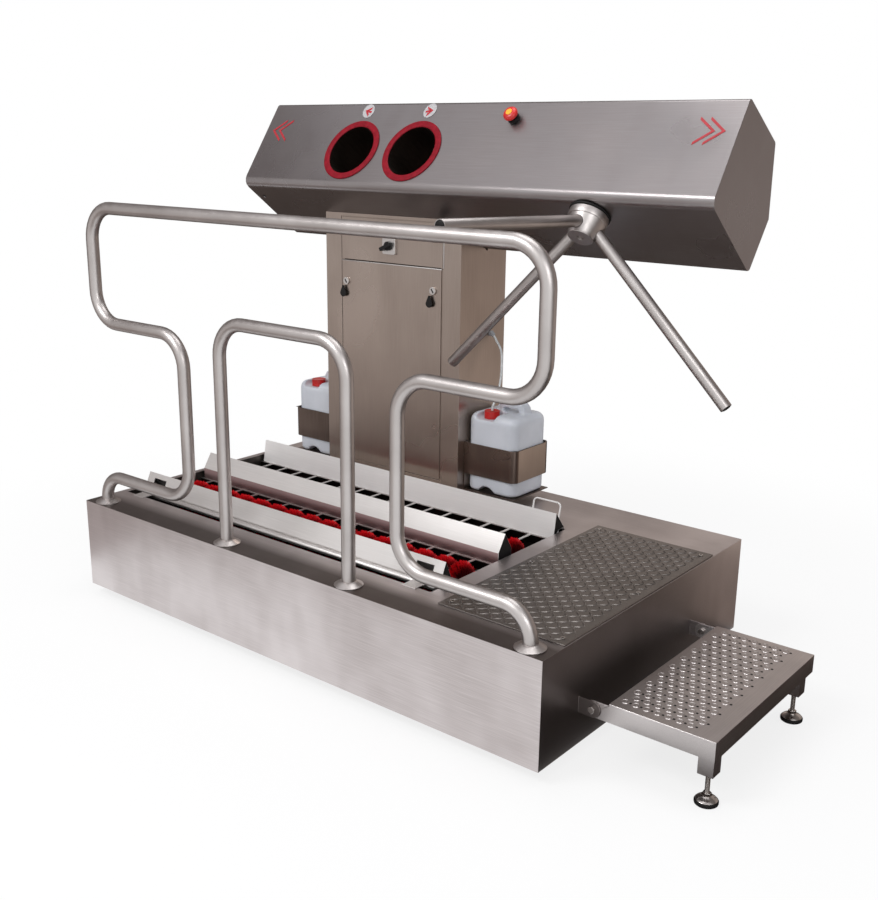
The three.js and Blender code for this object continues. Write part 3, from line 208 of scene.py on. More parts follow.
def in_edit():
    """Opens the active mesh with everything in it selected."""
    bpy.ops.object.mode_set(mode="EDIT")
    bpy.ops.mesh.select_mode(type="VERT")
    bpy.ops.mesh.select_all(action="SELECT")


def done_editing():
    bpy.ops.object.mode_set(mode="OBJECT")


def turn_faces_out():
    """Turns every face outwards and ends the editing."""
    bpy.ops.mesh.select_all(action="SELECT")
    bpy.ops.mesh.normals_make_consistent(inside=False)
    done_editing()


def extrude(way):
    bpy.ops.mesh.extrude_region_move(TRANSFORM_OT_translate={"value": way})


def sink_middle(rim, depth):
    """Insets the picked faces by a rim and sinks what is inside it."""
    bpy.ops.mesh.inset(thickness=rim)
    bpy.ops.transform.translate(value=(0, 0, -depth))
    done_editing()


def close_shell(ring=False):
    """Closes what is open, or joins a ring to its start, and turns the faces outwards."""
    bpy.ops.mesh.select_all(action="SELECT")
    bpy.ops.mesh.remove_doubles(threshold=MERGE)
    if not ring:
        bpy.ops.mesh.fill_holes(sides=0)
    turn_faces_out()


def turned(profile, vertices=48, ring=False):
    """A shape turned round its own Z axis: a circle drawn along a profile of radii and heights."""
    radius, height = profile[0]
    bpy.ops.mesh.primitive_circle_add(radius=radius, vertices=vertices, fill_type="NOTHING")
    piece = bpy.context.object
    in_edit()
    bpy.ops.transform.translate(value=(0, 0, height))
    for wide, high in profile[1:]:
        extrude((0, 0, high - height))
        share = wide / radius
        bpy.ops.transform.resize(value=(share, share, 1), center_override=(0, 0, high))
        radius, height = wide, high
    close_shell(ring)
    return piece


def turned_part(
    name, profile, vertices, place, finish, body, slot, smooth=None, ring=False, stands_for=None
):
    turned(profile, vertices, ring).matrix_world = place
    return finish_piece(name, finish, body, slot, smooth, stands_for)


def bent_tube(corners, bends, radius, sides, steps):
    """A tube swept up from the floor along straight runs and square bends."""
    ways = [(b - a).normalized() for a, b in zip(corners, corners[1:])]
    bpy.ops.mesh.primitive_circle_add(
        radius=radius, vertices=sides, fill_type="NOTHING", location=corners[0]
    )
    piece = bpy.context.object
    bake_place()
    in_edit()
    used = 0
    for index, way in enumerate(ways):
        bend = bends[index] if index < len(bends) else 0
        extrude(way * ((corners[index + 1] - corners[index]).length - used - bend))
        if bend:
            onward = ways[index + 1]
            centre = corners[index + 1] - way * bend + onward * bend
            bpy.ops.mesh.spin(steps=steps, angle=QUARTER, center=centre, axis=onward.cross(way))
        used = bend
    close_shell()
    return piece


def join(pieces):
    activate(pieces[0])
    for piece in pieces:
        piece.select_set(True)
    if len(pieces) > 1:
        bpy.ops.object.join()
    return bpy.context.object


def copy_of(piece, place):
    """A copy with its own mesh, placed by a matrix."""
    other = piece.copy()
    other.data = piece.data.copy()
    bpy.context.scene.collection.objects.link(other)
    other.matrix_world = place @ piece.matrix_world
    return other


def scattered(piece, places):
    """Copies of one small piece at many places, joined, with the first one removed."""
    copies = [copy_of(piece, place) for place in places]
    bpy.data.objects.remove(piece)
    return join(copies)


# Procedural finishes

def wired(tree, kind, *sources, **settings):
    """A shader node with its first inputs linked to sources, in order, and its values set."""
    node = tree.nodes.new("ShaderNode" + kind)
    for key, value in settings.items():
        if hasattr(node, key):
            setattr(node, key, value)
        else:
            node.inputs[key.replace("_", " ")].default_value = value
    for source, socket in zip(sources, node.inputs):
        tree.links.new(source, socket)
    return node


class Finish:
    """A material whose shader is fed from textures on the piece's own coordinates."""

    def __init__(self, name, color, roughness, **extras):
        self.name = name
        self.material = bpy.data.materials.new(name)
        self.material.use_nodes = True
        self.material.diffuse_color = (*color, 1)
        self.tree = self.material.node_tree
        self.shader = self.tree.nodes["Principled BSDF"]
        self.set(Base_Color=(*color, 1), Roughness=roughness, **extras)

    def set(self, **values):
        for key, value in values.items():
            self.shader.inputs[key.replace("_", " ")].default_value = value

    def node(self, kind, *sources, **settings):
        return wired(self.tree, kind, *sources, **settings)

    def feed(self, socket, source):
        self.tree.links.new(source, self.shader.inputs[socket])

    def axes(self):
        """The object's own X, Y and Z at a point."""
        split = self.node("SeparateXYZ", self.node("TexCoord").outputs["Object"])
        return [split.outputs[axis] for axis in "XYZ"]

    def math(self, operation, first, second=None):
        node = self.node("Math", first, operation=operation)
        if isinstance(second, float):
            node.inputs[1].default_value = second
        elif second:
            self.tree.links.new(second, node.inputs[1])
        return node.outputs[0]

    def noise(self, scale, detail=4, roughness=0.5, stretch=(1, 1, 1)):
        """Noise on object coordinates, drawn out along one way by a small stretch there."""
        mapping = self.node("Mapping", self.node("TexCoord").outputs["Object"], Scale=stretch)
        texture = self.node(
            "TexNoise", mapping.outputs["Vector"], Scale=scale, Detail=detail, Roughness=roughness
        )
        return texture.outputs["Fac"]

    def spread(self, value, low, high, low_at=0.3, high_at=0.7):
        """Maps a range of a texture, its middle one unless given, to a range of values."""
        node = self.node(
            "MapRange", value, From_Min=low_at, From_Max=high_at, To_Min=low, To_Max=high
        )
        return node.outputs["Result"]

    def mix(self, share, first, second):
        """Runs from the first colour to the second as the share goes from 0 to 1."""
        node = self.node("Mix", data_type="RGBA")
        self.tree.links.new(share, node.inputs["Factor"])
        for socket, value in (("A", first), ("B", second)):
            target = [i for i in node.inputs if i.name == socket and i.type == "RGBA"][0]
            if isinstance(value, tuple):
                target.default_value = (*value, 1)
            else:
                self.tree.links.new(value, target)
        return [o for o in node.outputs if o.type == "RGBA"][0]

    def cover(self, share, tone):
        """Lays a tone over the colour so far, fully where the share is 1."""
        before = self.shader.inputs["Base Color"].links[0].from_socket
        self.feed("Base Color", self.mix(share, before, tone))

    def bump(self, value, strength, distance):
        node = self.node("Bump", Strength=strength, Distance=distance)
        self.tree.links.new(value, node.inputs["Height"])
        self.feed("Normal", node.outputs["Normal"])


def brushed(name, color, dark, grain, roughness):
    """Brushed stainless steel: long fine grain over soft cloudy stains and marks."""
    finish = Finish(name, color, roughness, Metallic=1.0)
    lines = finish.noise(60, 3, stretch=grain)
    clouds = finish.noise(2.4, 3, 0.55)
    marks = finish.noise(11, 1, stretch=(1, 1, 0.35))
    stained = finish.mix(finish.spread(clouds, 0, 0.9, 0.35, 0.65), color, dark)
    marked = finish.mix(finish.spread(marks, 0, 0.5, 0.48, 0.72), stained, dark)
    pale = tuple(v * 1.12 for v in color)
    finish.feed("Base Color", finish.mix(finish.spread(lines, 0, 0.4, 0.42, 0.72), marked, pale))
    finish.feed("Roughness", finish.spread(clouds, roughness - 0.05, roughness + 0.08))
    return finish


def mottled(name, color, roughness, spots, first, second, gloss=None, relief=None, **extras):
    """A finish between two tones. Gloss and relief share its spots or have their own."""
    finish = Finish(name, color, roughness, **extras)
    shade = finish.noise(*spots)
    finish.feed("Base Color", finish.mix(finish.spread(shade, 0, 1), first, second))
    if gloss:
        low, high, *own = gloss
        finish.feed("Roughness", finish.spread(finish.noise(*own) if own else shade, low, high))
    if relief:
        strength, distance, *own = relief
        finish.bump(finish.noise(*own) if own else shade, strength, distance)
    return finish


def paint_deck_and_end_wall_shade(finish, dark):
    """Painted shade: darkens the deck in front of the grates, patchily, and the end wall's front
    part.
    """
    x, y, z = finish.axes()
    strip = finish.math(
        "MULTIPLY", finish.spread(y, 1, 0, -0.475, -0.425), finish.spread(z, 0, 1, 0.3252, 0.3258)
    )
    patchy = finish.math("MULTIPLY", strip, finish.spread(finish.noise(5), 0.85, 1))
    wall = finish.math(
        "MULTIPLY", finish.spread(x, 0, 1, 0.7152, 0.7158), finish.spread(y, 0.85, 0.1, -0.1, 0.42)
    )
    finish.cover(finish.math("MAXIMUM", patchy, wall), dark)


def brush_shade_depth(finish):
    """A mask for painted shade in the brush: runs from 1 deep between the bristles to 0 at their
    tips, round either roller's axis.
    """
    front, rear = (sum(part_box(f"brush_{side}"), Vector()) / 2 for side in ("front", "rear"))
    _, y, z = finish.axes()
    aside = finish.math("ABSOLUTE", finish.math("SUBTRACT", y, (front.y + rear.y) / 2))
    across = finish.math("SUBTRACT", aside, (rear.y - front.y) / 2)
    rise = finish.math("SUBTRACT", z, front.z)
    squares = finish.math(
        "ADD", finish.math("MULTIPLY", across, across), finish.math("MULTIPLY", rise, rise)
    )
    return finish.spread(finish.math("SQRT", squares), 1, 0, 0.048, 0.066)


def make_finishes():
    along, upright, across = (0.15, 11, 11), (11, 11, 0.15), (11, 0.15, 11)
    steels = {
        name: brushed(name, color, dark, grain, roughness)
        for name, color, dark, grain, roughness in (
            ("base_sheet", (0.68, 0.635, 0.635), (0.47, 0.425, 0.42), along, 0.34),
            ("front_sheet", (0.43, 0.365, 0.325), (0.35, 0.29, 0.255), upright, 0.3),
            # a darker copy of the sheet steel for the overhead housing: painted shade
            ("head_sheet_painted_shade", (0.335, 0.315, 0.32), (0.29, 0.265, 0.265), along, 0.3),
            # a lighter copy of the sheet steel for end faces along X: painted light on the sides
            ("side_sheet_painted_light", (0.47, 0.4, 0.355), (0.38, 0.32, 0.28), upright, 0.32),
            ("guard_sheet", (0.76, 0.74, 0.73), (0.68, 0.66, 0.65), along, 0.4),
            # a paler copy of the guard steel for the rear guard: painted light
            ("rear_guard_painted_light", (0.88, 0.86, 0.845), (0.82, 0.8, 0.785), along, 0.42),
            # a dark red copy of the guard steel for the middle guard's front: painted shade and a
            # painted reflection of the red brush
            ("skirt_painted_reflection", (0.33, 0.225, 0.225), (0.27, 0.18, 0.18), along, 0.42),
            ("tread_sheet", (0.72, 0.68, 0.675), (0.58, 0.545, 0.54), across, 0.3),
            # a near-black copy of the steel for the trough and frame beams under the deck: painted
            # shade
            ("tub_sheet_painted_shade", (0.16, 0.145, 0.135), (0.1, 0.09, 0.085), along, 0.4),
            ("holder_sheet", (0.2, 0.155, 0.135), (0.13, 0.1, 0.085), upright, 0.3),
            # a dark copy of the steel for the hand chambers inside the openings: painted shade
            ("chamber_painted_shade", (0.16, 0.13, 0.11), (0.1, 0.08, 0.07), along, 0.35),
            ("plate", (0.66, 0.64, 0.63), (0.56, 0.54, 0.53), along, 0.3),
        )
    }
    # painted shade over the base sheet: a dark tone on the deck's front strip and on the end wall's
    # front part
    paint_deck_and_end_wall_shade(steels["base_sheet"], (0.12, 0.1, 0.093))
    # the rear guard's copy is mostly not metal so it reads pale: painted light
    steels["rear_guard_painted_light"].set(Metallic=0.15)

    grate = mottled(
        "grate_steel", (0.5, 0.48, 0.47), 0.36, (30,), (0.7, 0.68, 0.67), (0.55, 0.53, 0.52),
        Metallic=1.0)
    # painted shade: the rungs go near black below their tops, deep in the lane
    grate.cover(grate.spread(grate.axes()[2], 1, 0, 0.2985, 0.3012), (0.035, 0.028, 0.026))
    bristle = mottled(
        "red_bristle", (0.55, 0.004, 0.008), 0.42, (60, 3), (0.84, 0.006, 0.014),
        (0.6, 0.003, 0.008), Specular_IOR_Level=0.3)
    # painted shade: the bristles go dark red deep between them, towards the core
    bristle.cover(brush_shade_depth(bristle), (0.1, 0.001, 0.002))
    others = (
        mottled(
            "satin_tube", (0.58, 0.55, 0.53), 0.38, (7,), (0.56, 0.53, 0.52), (0.47, 0.44, 0.43),
            (0.34, 0.42, 60, 2), Metallic=1.0, Specular_Tint=(0.5, 0.46, 0.44, 1)),
        mottled(
            "turned_steel", (0.6, 0.58, 0.56), 0.22, (160, 2), (0.62, 0.59, 0.57),
            (0.52, 0.49, 0.47), (0.18, 0.28), Metallic=1.0),
        mottled(
            "tear_plate", (0.24, 0.22, 0.21), 0.34, (5, 5, 0.6), (0.28, 0.258, 0.246),
            (0.19, 0.174, 0.162), (0.26, 0.4, 140, 2), Metallic=1.0),
        mottled(
            "black_plastic", (0.008, 0.008, 0.009), 0.36, (300, 2), (0.006, 0.006, 0.007),
            (0.012, 0.011, 0.011), (0.3, 0.42), Specular_IOR_Level=0.22),
        mottled(
            "black_rubber", (0.01, 0.01, 0.01), 0.6, (220, 3), (0.007, 0.007, 0.007),
            (0.015, 0.014, 0.014), (0.5, 0.7), Specular_IOR_Level=0.2),
        mottled(
            "machine_paint", (0.32, 0.33, 0.35), 0.45, (6,), (0.33, 0.34, 0.36),
            (0.26, 0.27, 0.29), relief=(0.15, 0.0004, 180, 2)),
        mottled(
            "milky_plastic", (0.66, 0.67, 0.69), 0.38, (9,), (0.68, 0.705, 0.76),
            (0.58, 0.605, 0.655), (0.32, 0.46, 90), (0.08, 0.002),
            Subsurface_Weight=0.15, Subsurface_Radius=(0.02, 0.02, 0.025)),
        mottled(
            "red_cap", (0.62, 0.012, 0.01), 0.35, (50, 3), (0.68, 0.016, 0.012),
            (0.5, 0.008, 0.008), relief=(0.05, 0.0004), Coat_Weight=0.2),
        mottled(
            "crimson_rubber", (0.3, 0.008, 0.018), 0.5, (70,), (0.27, 0.006, 0.017),
            (0.18, 0.004, 0.011), Specular_IOR_Level=0.12),
        mottled(
            "red_film", (0.45, 0.02, 0.03), 0.35, (120,), (0.47, 0.022, 0.035),
            (0.38, 0.016, 0.026)),
        mottled(
            "pale_film", (0.46, 0.45, 0.46), 0.4, (120,), (0.48, 0.47, 0.48), (0.4, 0.39, 0.4)),
        mottled(
            "yellow_plastic", (0.85, 0.42, 0.02), 0.4, (90,), (0.88, 0.45, 0.025),
            (0.75, 0.35, 0.015)),
        mottled(
            "clear_hose", (0.62, 0.64, 0.64), 0.25, (120, 2), (0.66, 0.68, 0.68),
            (0.5, 0.52, 0.53), Coat_Weight=0.3),
    )
    return {made.name: made.material for made in (*steels.values(), grate, bristle, *others)}


def dress(finish, *names):
    for name in names:
        mesh = nodes[name].data
        mesh.materials.clear()
        mesh.materials.append(finishes[finish])


# Suction hose from the tower's outlet to the right canister's cap

HOSE_ROUTE = [
    (-0.1651, 0.4465, 0.8554), (-0.158, 0.4465, 0.8472), (-0.1524, 0.4462, 0.8379),
    (-0.1451, 0.4455, 0.8298), (-0.138, 0.4444, 0.8216), (-0.1319, 0.4428, 0.8126),
    (-0.1275, 0.4408, 0.8028), (-0.1244, 0.4383, 0.7926), (-0.1219, 0.4357, 0.7823),
    (-0.1197, 0.4328, 0.772), (-0.1176, 0.4298, 0.7617), (-0.1154, 0.4266, 0.7514),
    (-0.1135, 0.4233, 0.7412), (-0.1118, 0.4198, 0.7309), (-0.1103, 0.4161, 0.7208),
    (-0.1089, 0.4121, 0.7107), (-0.1077, 0.4077, 0.7007), (-0.1066, 0.4028, 0.691),
    (-0.1057, 0.3977, 0.6814), (-0.1051, 0.3923, 0.6719), (-0.1049, 0.3869, 0.6624),
    (-0.1053, 0.381, 0.6532), (-0.1059, 0.3749, 0.6441), (-0.1066, 0.3695, 0.6346),
    (-0.1067, 0.3685, 0.6239),
]
HOSE_DIAMETER = 0.008


def make_hose():
    curve = bpy.data.curves.new("hose_line", "CURVE")
    curve.dimensions = "3D"
    curve.bevel_depth = HOSE_DIAMETER / 2
    curve.bevel_resolution = 3
    curve.use_fill_caps = True
    line = curve.splines.new("POLY")
    line.points.add(len(HOSE_ROUTE) - 1)
    for point, place in zip(line.points, HOSE_ROUTE):
        point.co = (*place, 1)
    curve.materials.append(finishes["clear_hose"])
    hose = bpy.data.objects.new("hose_line", curve)
    bpy.context.scene.collection.objects.link(hose)
    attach(hose, "base")
    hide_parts("suction_hose")


# Bristles of a roller: splayed tufts on a fine spiral, in bands that bulge between the rungs

RUNG_PITCH = 0.078
RUNG_HALF = 0.007
LAST_RUNG = shop(1252, 0, 0).x
FULL_BANDS = 15
BAND = 0.058
BAND_SLICES = 10
TUFTS_PER_BAND = 240
CORE = 0.024
REACH = 0.0705
EDGE_REACH = 0.05
TUFT_REACHES = (0.0705, 0.065, 0.069, 0.0615, 0.0672, 0.0635)
TUFT_STRANDS = (
    # How much shorter than the tuft each strand is, and its lean along and round the roller
    (0, 0.085, 0.03), (0.0016, -0.085, 0.06), (0.0008, 0.01, -0.1),
    (0.0024, -0.03, 0.01), (0.0012, 0.05, 0.1),
)
SPIRAL_STEP = math.radians(137.508)


def make_rollers():
    band = bristle_band()
    for side in ("front", "rear"):
        low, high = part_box(f"brush_{side}")
        axis = (low + high) / 2
        middles = [LAST_RUNG - RUNG_PITCH * (index + 0.5) for index in range(FULL_BANDS)]
        places = [at(x, axis.y, axis.z) for x in middles]
        start = LAST_RUNG + RUNG_HALF
        last = at((start + high.x) / 2, axis.y, axis.z)
        places.append(last @ Matrix.Diagonal(((high.x - start) / BAND, 1, 1, 1)))
        length = high.x - low.x
        core = turned(
            [(CORE - 0.001, 0), (CORE, 0.001), (CORE, length - 0.001), (CORE - 0.001, length)], 24
        )
        along = spun(QUARTER, "Y")
        core.matrix_world = at(low.x, axis.y, axis.z) @ along
        pieces = [core] + [copy_of(band, place) for place in places]
        for piece in pieces:
            activate(piece)
            bake_place()
        join(pieces)
        finish_piece(
            f"bristles_{side}", "red_bristle", f"roller_{side}", "red_bristle",
            stands_for=f"brush_{side}",
        )
    bpy.data.objects.remove(band)


def strand(reach, lean_along, lean_round):
    """One three-sided strand that stands on the core and leans."""
    length = reach - CORE + 0.001
    bpy.ops.mesh.primitive_cone_add(
        vertices=3, radius1=0.0007, radius2=0.0017, depth=length, end_fill_type="NOTHING",
        location=(0, 0, length / 2),
    )
    bake_place()
    piece = bpy.context.object
    lean = spun(lean_along, "X") @ spun(lean_round, "Y")
    piece.matrix_world = at(0, 0, CORE - 0.001) @ lean
    bake_place()
    return piece


def bristle_band():
    """Tufts of a few lengths, each length on its own spiral round the core."""
    kinds = []
    share = TUFTS_PER_BAND // len(TUFT_REACHES)
    for kind, reach in enumerate(TUFT_REACHES):
        tuft = join([strand(reach - less, *leans) for less, *leans in TUFT_STRANDS])
        tuft.matrix_world = spun(math.radians(61 * kind), "X")
        bake_place()
        turn = bpy.data.objects.new("spiral_step", None)
        bpy.context.scene.collection.objects.link(turn)
        onward = at(BAND / share, 0, 0)
        turn.matrix_world = onward @ spun(SPIRAL_STEP, "X")
        apply_modifier(
            "ARRAY", count=share, use_relative_offset=False, use_object_offset=True,
            offset_object=turn,
        )
        bpy.data.objects.remove(turn)
        tuft.location = (-BAND / 2 + BAND / share * (kind + 0.5) / len(TUFT_REACHES), 0, 0)
        bake_place()
        kinds.append(tuft)
    band = join(kinds)
    for index in range(BAND_SLICES):
        left = -BAND / 2 + BAND * index / BAND_SLICES
        right = left + BAND / BAND_SLICES
        reach = EDGE_REACH + (REACH - EDGE_REACH) * math.sqrt(1 - ((left + right) / BAND) ** 2)
        first, last = index == 0, index == BAND_SLICES - 1
        pick("VERT", lambda co: (first or left <= co.x) and (last or co.x < right))
        bpy.ops.transform.resize(value=(1, reach / REACH, reach / REACH), center_override=(0, 0, 0))
        done_editing()
    return band


# Canisters: blown bodies with a moulded handle, neck and finger arch

CAP_DIP = 0.019
CANISTER_VOXEL = 0.0036


def make_canisters():
    for side, body in (("right", "base"), ("left", "canister_left")):
        cap_low, cap_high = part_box(f"cap_{side}")
        blown_body(*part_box(f"canister_{side}"), cap_low, cap_high)
        finish_piece(
            f"blown_canister_{side}", "milky_plastic", body, "milky_plastic", 50, f"canister_{side}"
        )
        ribbed_cap(side, cap_low, cap_high)


def round_over(kind, test, radius, segments):
    pick(kind, test)
    bpy.ops.mesh.bevel(offset=radius, segments=segments, affect="EDGES")
    done_editing()


def blown_body(low, high, cap_low, cap_high):
    """A square blown can with soft shoulders, a sunk corner for the cap and a finger arch below."""
    shoulder = cap_low.z - 0.0003
    top = shoulder + CAP_DIP
    body = block(low, (high.x, high.y, top))
    round_over("EDGE", lambda a, b: abs(a.z - b.z) > 0.1, 0.034, 6)
    round_over("FACE", faces_up, 0.026, 6)
    round_over("FACE", lambda c, n: n.z < -0.9, 0.01, 3)
    bake_place()
    blown = join([body, handle_arch(low, high, top)])
    apply_modifier("REMESH", mode="VOXEL", voxel_size=CANISTER_VOXEL)
    cap = (cap_low + cap_high) / 2
    if cap.y < (low.y + high.y) / 2:
        front, back = low.y - 0.02, cap.y + 0.034
    else:
        front, back = cap.y - 0.034, high.y + 0.02
    sunk = rounded_block(
        (cap.x - 0.036, front, shoulder), (cap.x + 0.04, back, high.z + 0.02), 0.008
    )
    cut_away(blown, sunk)
    arch_place = ((low.x + high.x) / 2 - 0.016, low.y, low.z - 0.018)
    cut_away(blown, drum(0.038, 0.09, arch_place, "Y"))
    apply_modifier("REMESH", mode="VOXEL", voxel_size=CANISTER_VOXEL)
    apply_modifier("SMOOTH", factor=0.5, iterations=8)
    neck = drum(0.0195, 0.024, (cap.x, cap.y, shoulder - 0.004))
    return join([blown, neck])


def handle_arch(low, high, top):
    """A flat bar swept up, over and down again."""
    length, width, thick, bend, root = 0.112, 0.042, 0.024, 0.02, 0.012
    right = high.x - 0.024 - thick / 2
    left = right - length + thick
    middle = (low.y + high.y) / 2 + 0.012
    rise = high.z - top - thick / 2 - bend
    bpy.ops.mesh.primitive_plane_add(size=1, location=(left, middle, top - root))
    bar = bpy.context.object
    bar.scale = (thick, width, 1)
    bake_place()
    in_edit()
    extrude((0, 0, rise + root))
    span = right - left - 2 * bend
    for way, x in (((span, 0, 0), left + bend), ((0, 0, -rise - root), right - bend)):
        bpy.ops.mesh.spin(
            steps=6, angle=QUARTER, center=(x, middle, top + rise), axis=(0, -1, 0)
        )
        extrude(way)
    bpy.ops.mesh.select_all(action="SELECT")
    bpy.ops.mesh.remove_doubles(threshold=0.0002)
    turn_faces_out()
    return bar


def ribbed_cap(side, low, high):
    ribs = 36
    drum((high.x - low.x) / 2, high.z - low.z, (low + high) / 2, vertices=2 * ribs)
    pick("FACE", lambda c, n: abs(n.z) < 0.5 and math.sin(ribs * math.atan2(c.y, c.x)) > 0)
    bpy.ops.mesh.extrude_region_shrink_fatten(TRANSFORM_OT_shrink_fatten={"value": -0.0009})
    done_editing()
    pick("FACE", faces_up)
    sink_middle(0.003, 0.0012)
    finish_piece(f"ribbed_cap_{side}", "red_cap", f"cap_{side}", "red_plastic", 35, f"cap_{side}")


# Platform: raised tears in a herringbone and countersunk screws

TEAR_PITCH = 0.0225
TEAR_MARGIN = 0.02


def make_platform():
    low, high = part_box("platform_plate")
    tear = half_dome(10, 6, (0.0135, 0.0036, 0.0019))
    pick("VERT", lambda co: abs(co.x) > 0.006)
    bpy.ops.transform.resize(value=(1, 0.55, 1))
    done_editing()
    places = []
    for row in range(int((high.y - low.y - TEAR_MARGIN) / TEAR_PITCH)):
        for column in range(int((high.x - low.x - TEAR_MARGIN) / TEAR_PITCH)):
            x = low.x + TEAR_MARGIN + column * TEAR_PITCH
            y = low.y + TEAR_MARGIN + row * TEAR_PITCH
            turn = math.radians(45 if (row + column) % 2 else -45)
            places.append(at(x, y, high.z) @ spun(turn, "Z"))
    scattered(tear, places)
    finish_piece("plate_tears", "tear_plate", "base", "dark_steel", 60)

    screw = drum(0.0062, 0.0016, (0, 0, 0.0002), vertices=20, edge=0.0005)
    pick("FACE", faces_up)
    sink_middle(0.0034, 0.0012)
    scattered(screw, [
        at(x, y, high.z + 0.0012)
        for x in (low.x + 0.024, high.x - 0.024)
        for y in (low.y + 0.03, (low.y + high.y) / 2, high.y - 0.03)
    ])
    finish_piece("plate_screws", "turned_steel", "base", "dark_steel", 40)


# Step: pressed dimples with a rim, and small black discs between them, painted shade for drain
# holes

DIMPLE_RADIUS = 0.0105
DIMPLE_ROWS = 18
DIMPLE_COLUMNS = 7
DIMPLE_PITCH = 0.029
DIMPLE_ROW_PITCH = 0.0305


def make_tread():
    low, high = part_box("step_tread")
    first_x = high.x - 0.279 + 0.024
    dimple = half_dome(14, 8, (DIMPLE_RADIUS, DIMPLE_RADIUS, DIMPLE_RADIUS * 0.34))
    pick("FACE", lambda c, n: n.z > 0.97)
    bpy.ops.transform.translate(value=(0, 0, -0.0022))
    done_editing()
    dimples, holes = [], []
    for row in range(DIMPLE_ROWS):
        y = low.y + 0.036 + row * DIMPLE_ROW_PITCH
        shift = DIMPLE_PITCH / 2 if row % 2 else 0
        for column in range(DIMPLE_COLUMNS):
            x = first_x + shift + column * DIMPLE_PITCH
            dimples.append(at(x, y, high.z))
            holes.append(at(x + DIMPLE_PITCH / 2, y, high.z))
    scattered(dimple, dimples)
    finish_piece("tread_dimples", "tread_sheet", "step", "sheet_steel", 60)
    # black discs on the tread stand for drain holes: painted shade
    scattered(drum(0.0034, 0.0004, (0, 0, 0.0003), vertices=14), holes)
    finish_piece("tread_hole_shade", "black_plastic", "step", "dark_steel", 40)


# Signs on the overhead housing: chevrons and arrows that name no maker

NOSE = shop(1084, 700, 1328)
ALONG = Vector((1, 0, 0))
FACE_UP = Vector((0, 0.18, 0.267)).normalized()
FACE_OUT = Vector((0, -FACE_UP.z, FACE_UP.y))
FILM = 0.0006


def on_face(x, rise, out=FILM):
    """A place on the housing's sloping front, its X along the base and its Y up the slope."""
    nose = NOSE + Vector((x - 1.084, 0, 0))
    return placed(ALONG, FACE_UP, FACE_OUT, nose + FACE_UP * rise + FACE_OUT * out)


def on_tower(place):
    """A place on the tower's front, with its Z pointing out."""
    return placed(ALONG, Vector((0, 0, 1)), Vector((0, -1, 0)), place)


def chevron(reach, spread, width):
    """One mitred arrow head that points along +X, from a bar and its mirror."""
    bpy.ops.mesh.primitive_cube_add(size=1)
    bar = bpy.context.object
    bar.scale = (math.hypot(reach, spread) + width, width, FILM)
    bar.location = (-reach / 2, spread / 2, 0)
    bar.rotation_euler = (0, 0, -math.atan2(spread, reach))
    bake_place()
    for corner, normal in (((0, 0, 0), (0, 1, 0)), ((-reach, 0, 0), (1, 0, 0))):
        in_edit()
        bpy.ops.mesh.bisect(plane_co=corner, plane_no=normal, clear_inner=True, use_fill=True)
        done_editing()
    apply_modifier("MIRROR", use_axis=(False, True, False), use_mirror_merge=True)
    return bar


def lay_film(piece, place):
    """Puts a flat sign in its place, which may mirror it, with its faces outwards."""
    activate(piece).matrix_world = place
    bake_place()
    in_edit()
    turn_faces_out()
    return piece


def make_signs():
    join([
        lay_film(
            chevron(0.048, 0.039, 0.007),
            on_face(x - side * gap, rise) @ Matrix.Diagonal((side, 1, 1, 1)),
        )
        for x, rise, side in ((0.063, 0.211, -1), (1.758, 0.219, 1)) for gap in (0, 0.03)
    ])
    finish_piece("walk_chevrons", "red_film", "base", "red_plastic")

    for name, x, side in (("left", 0.475, -1), ("right", 0.738, 1)):
        place = on_face(x, 0.288) @ spun(math.radians(-25 * side), "Z")
        turned_part(
            f"hand_sign_{name}",
            [(0.0244, 0), (0.0246, FILM / 2), (0.0242, FILM), (0.002, FILM)], 48,
            place @ Matrix.Diagonal((0.98, 1.08, 1, 1)), "pale_film", "base", "milky_plastic",
        )
        shaft = block((-0.024, -0.0036, -FILM / 2), (-0.004, 0.0036, FILM / 2))
        arrow = join([chevron(0.018, 0.014, 0.0068), shaft])
        lean = spun(math.radians(12), "Z")
        mirrored = Matrix.Diagonal((side, 1, 1, 1))
        lay_film(arrow, on_face(x + 0.008 * side, 0.288, 0.0014) @ mirrored @ lean)
        finish_piece(f"hand_arrow_{name}", "red_film", "base", "red_plastic")


# Handrails: bent tubes on domed covers

RAIL_RADIUS = 0.019
RAIL_BEND = 0.098
RAIL_FOOT_BEND = 0.08
RAIL_Y = 40
DECK, LOW_RUN, MIDDLE_RUN, SHORT_TOP, LONG_TOP = 326.3, 420, 921, 983, 1270
RAIL_COVER = [
    (0.0394, 0), (0.04, 0.0006), (0.04, 0.0024), (0.0386, 0.0032), (0.033, 0.0062),
    (0.027, 0.01), (0.0225, 0.0122), (0.0203, 0.013), (0.0195, 0.0126),
]


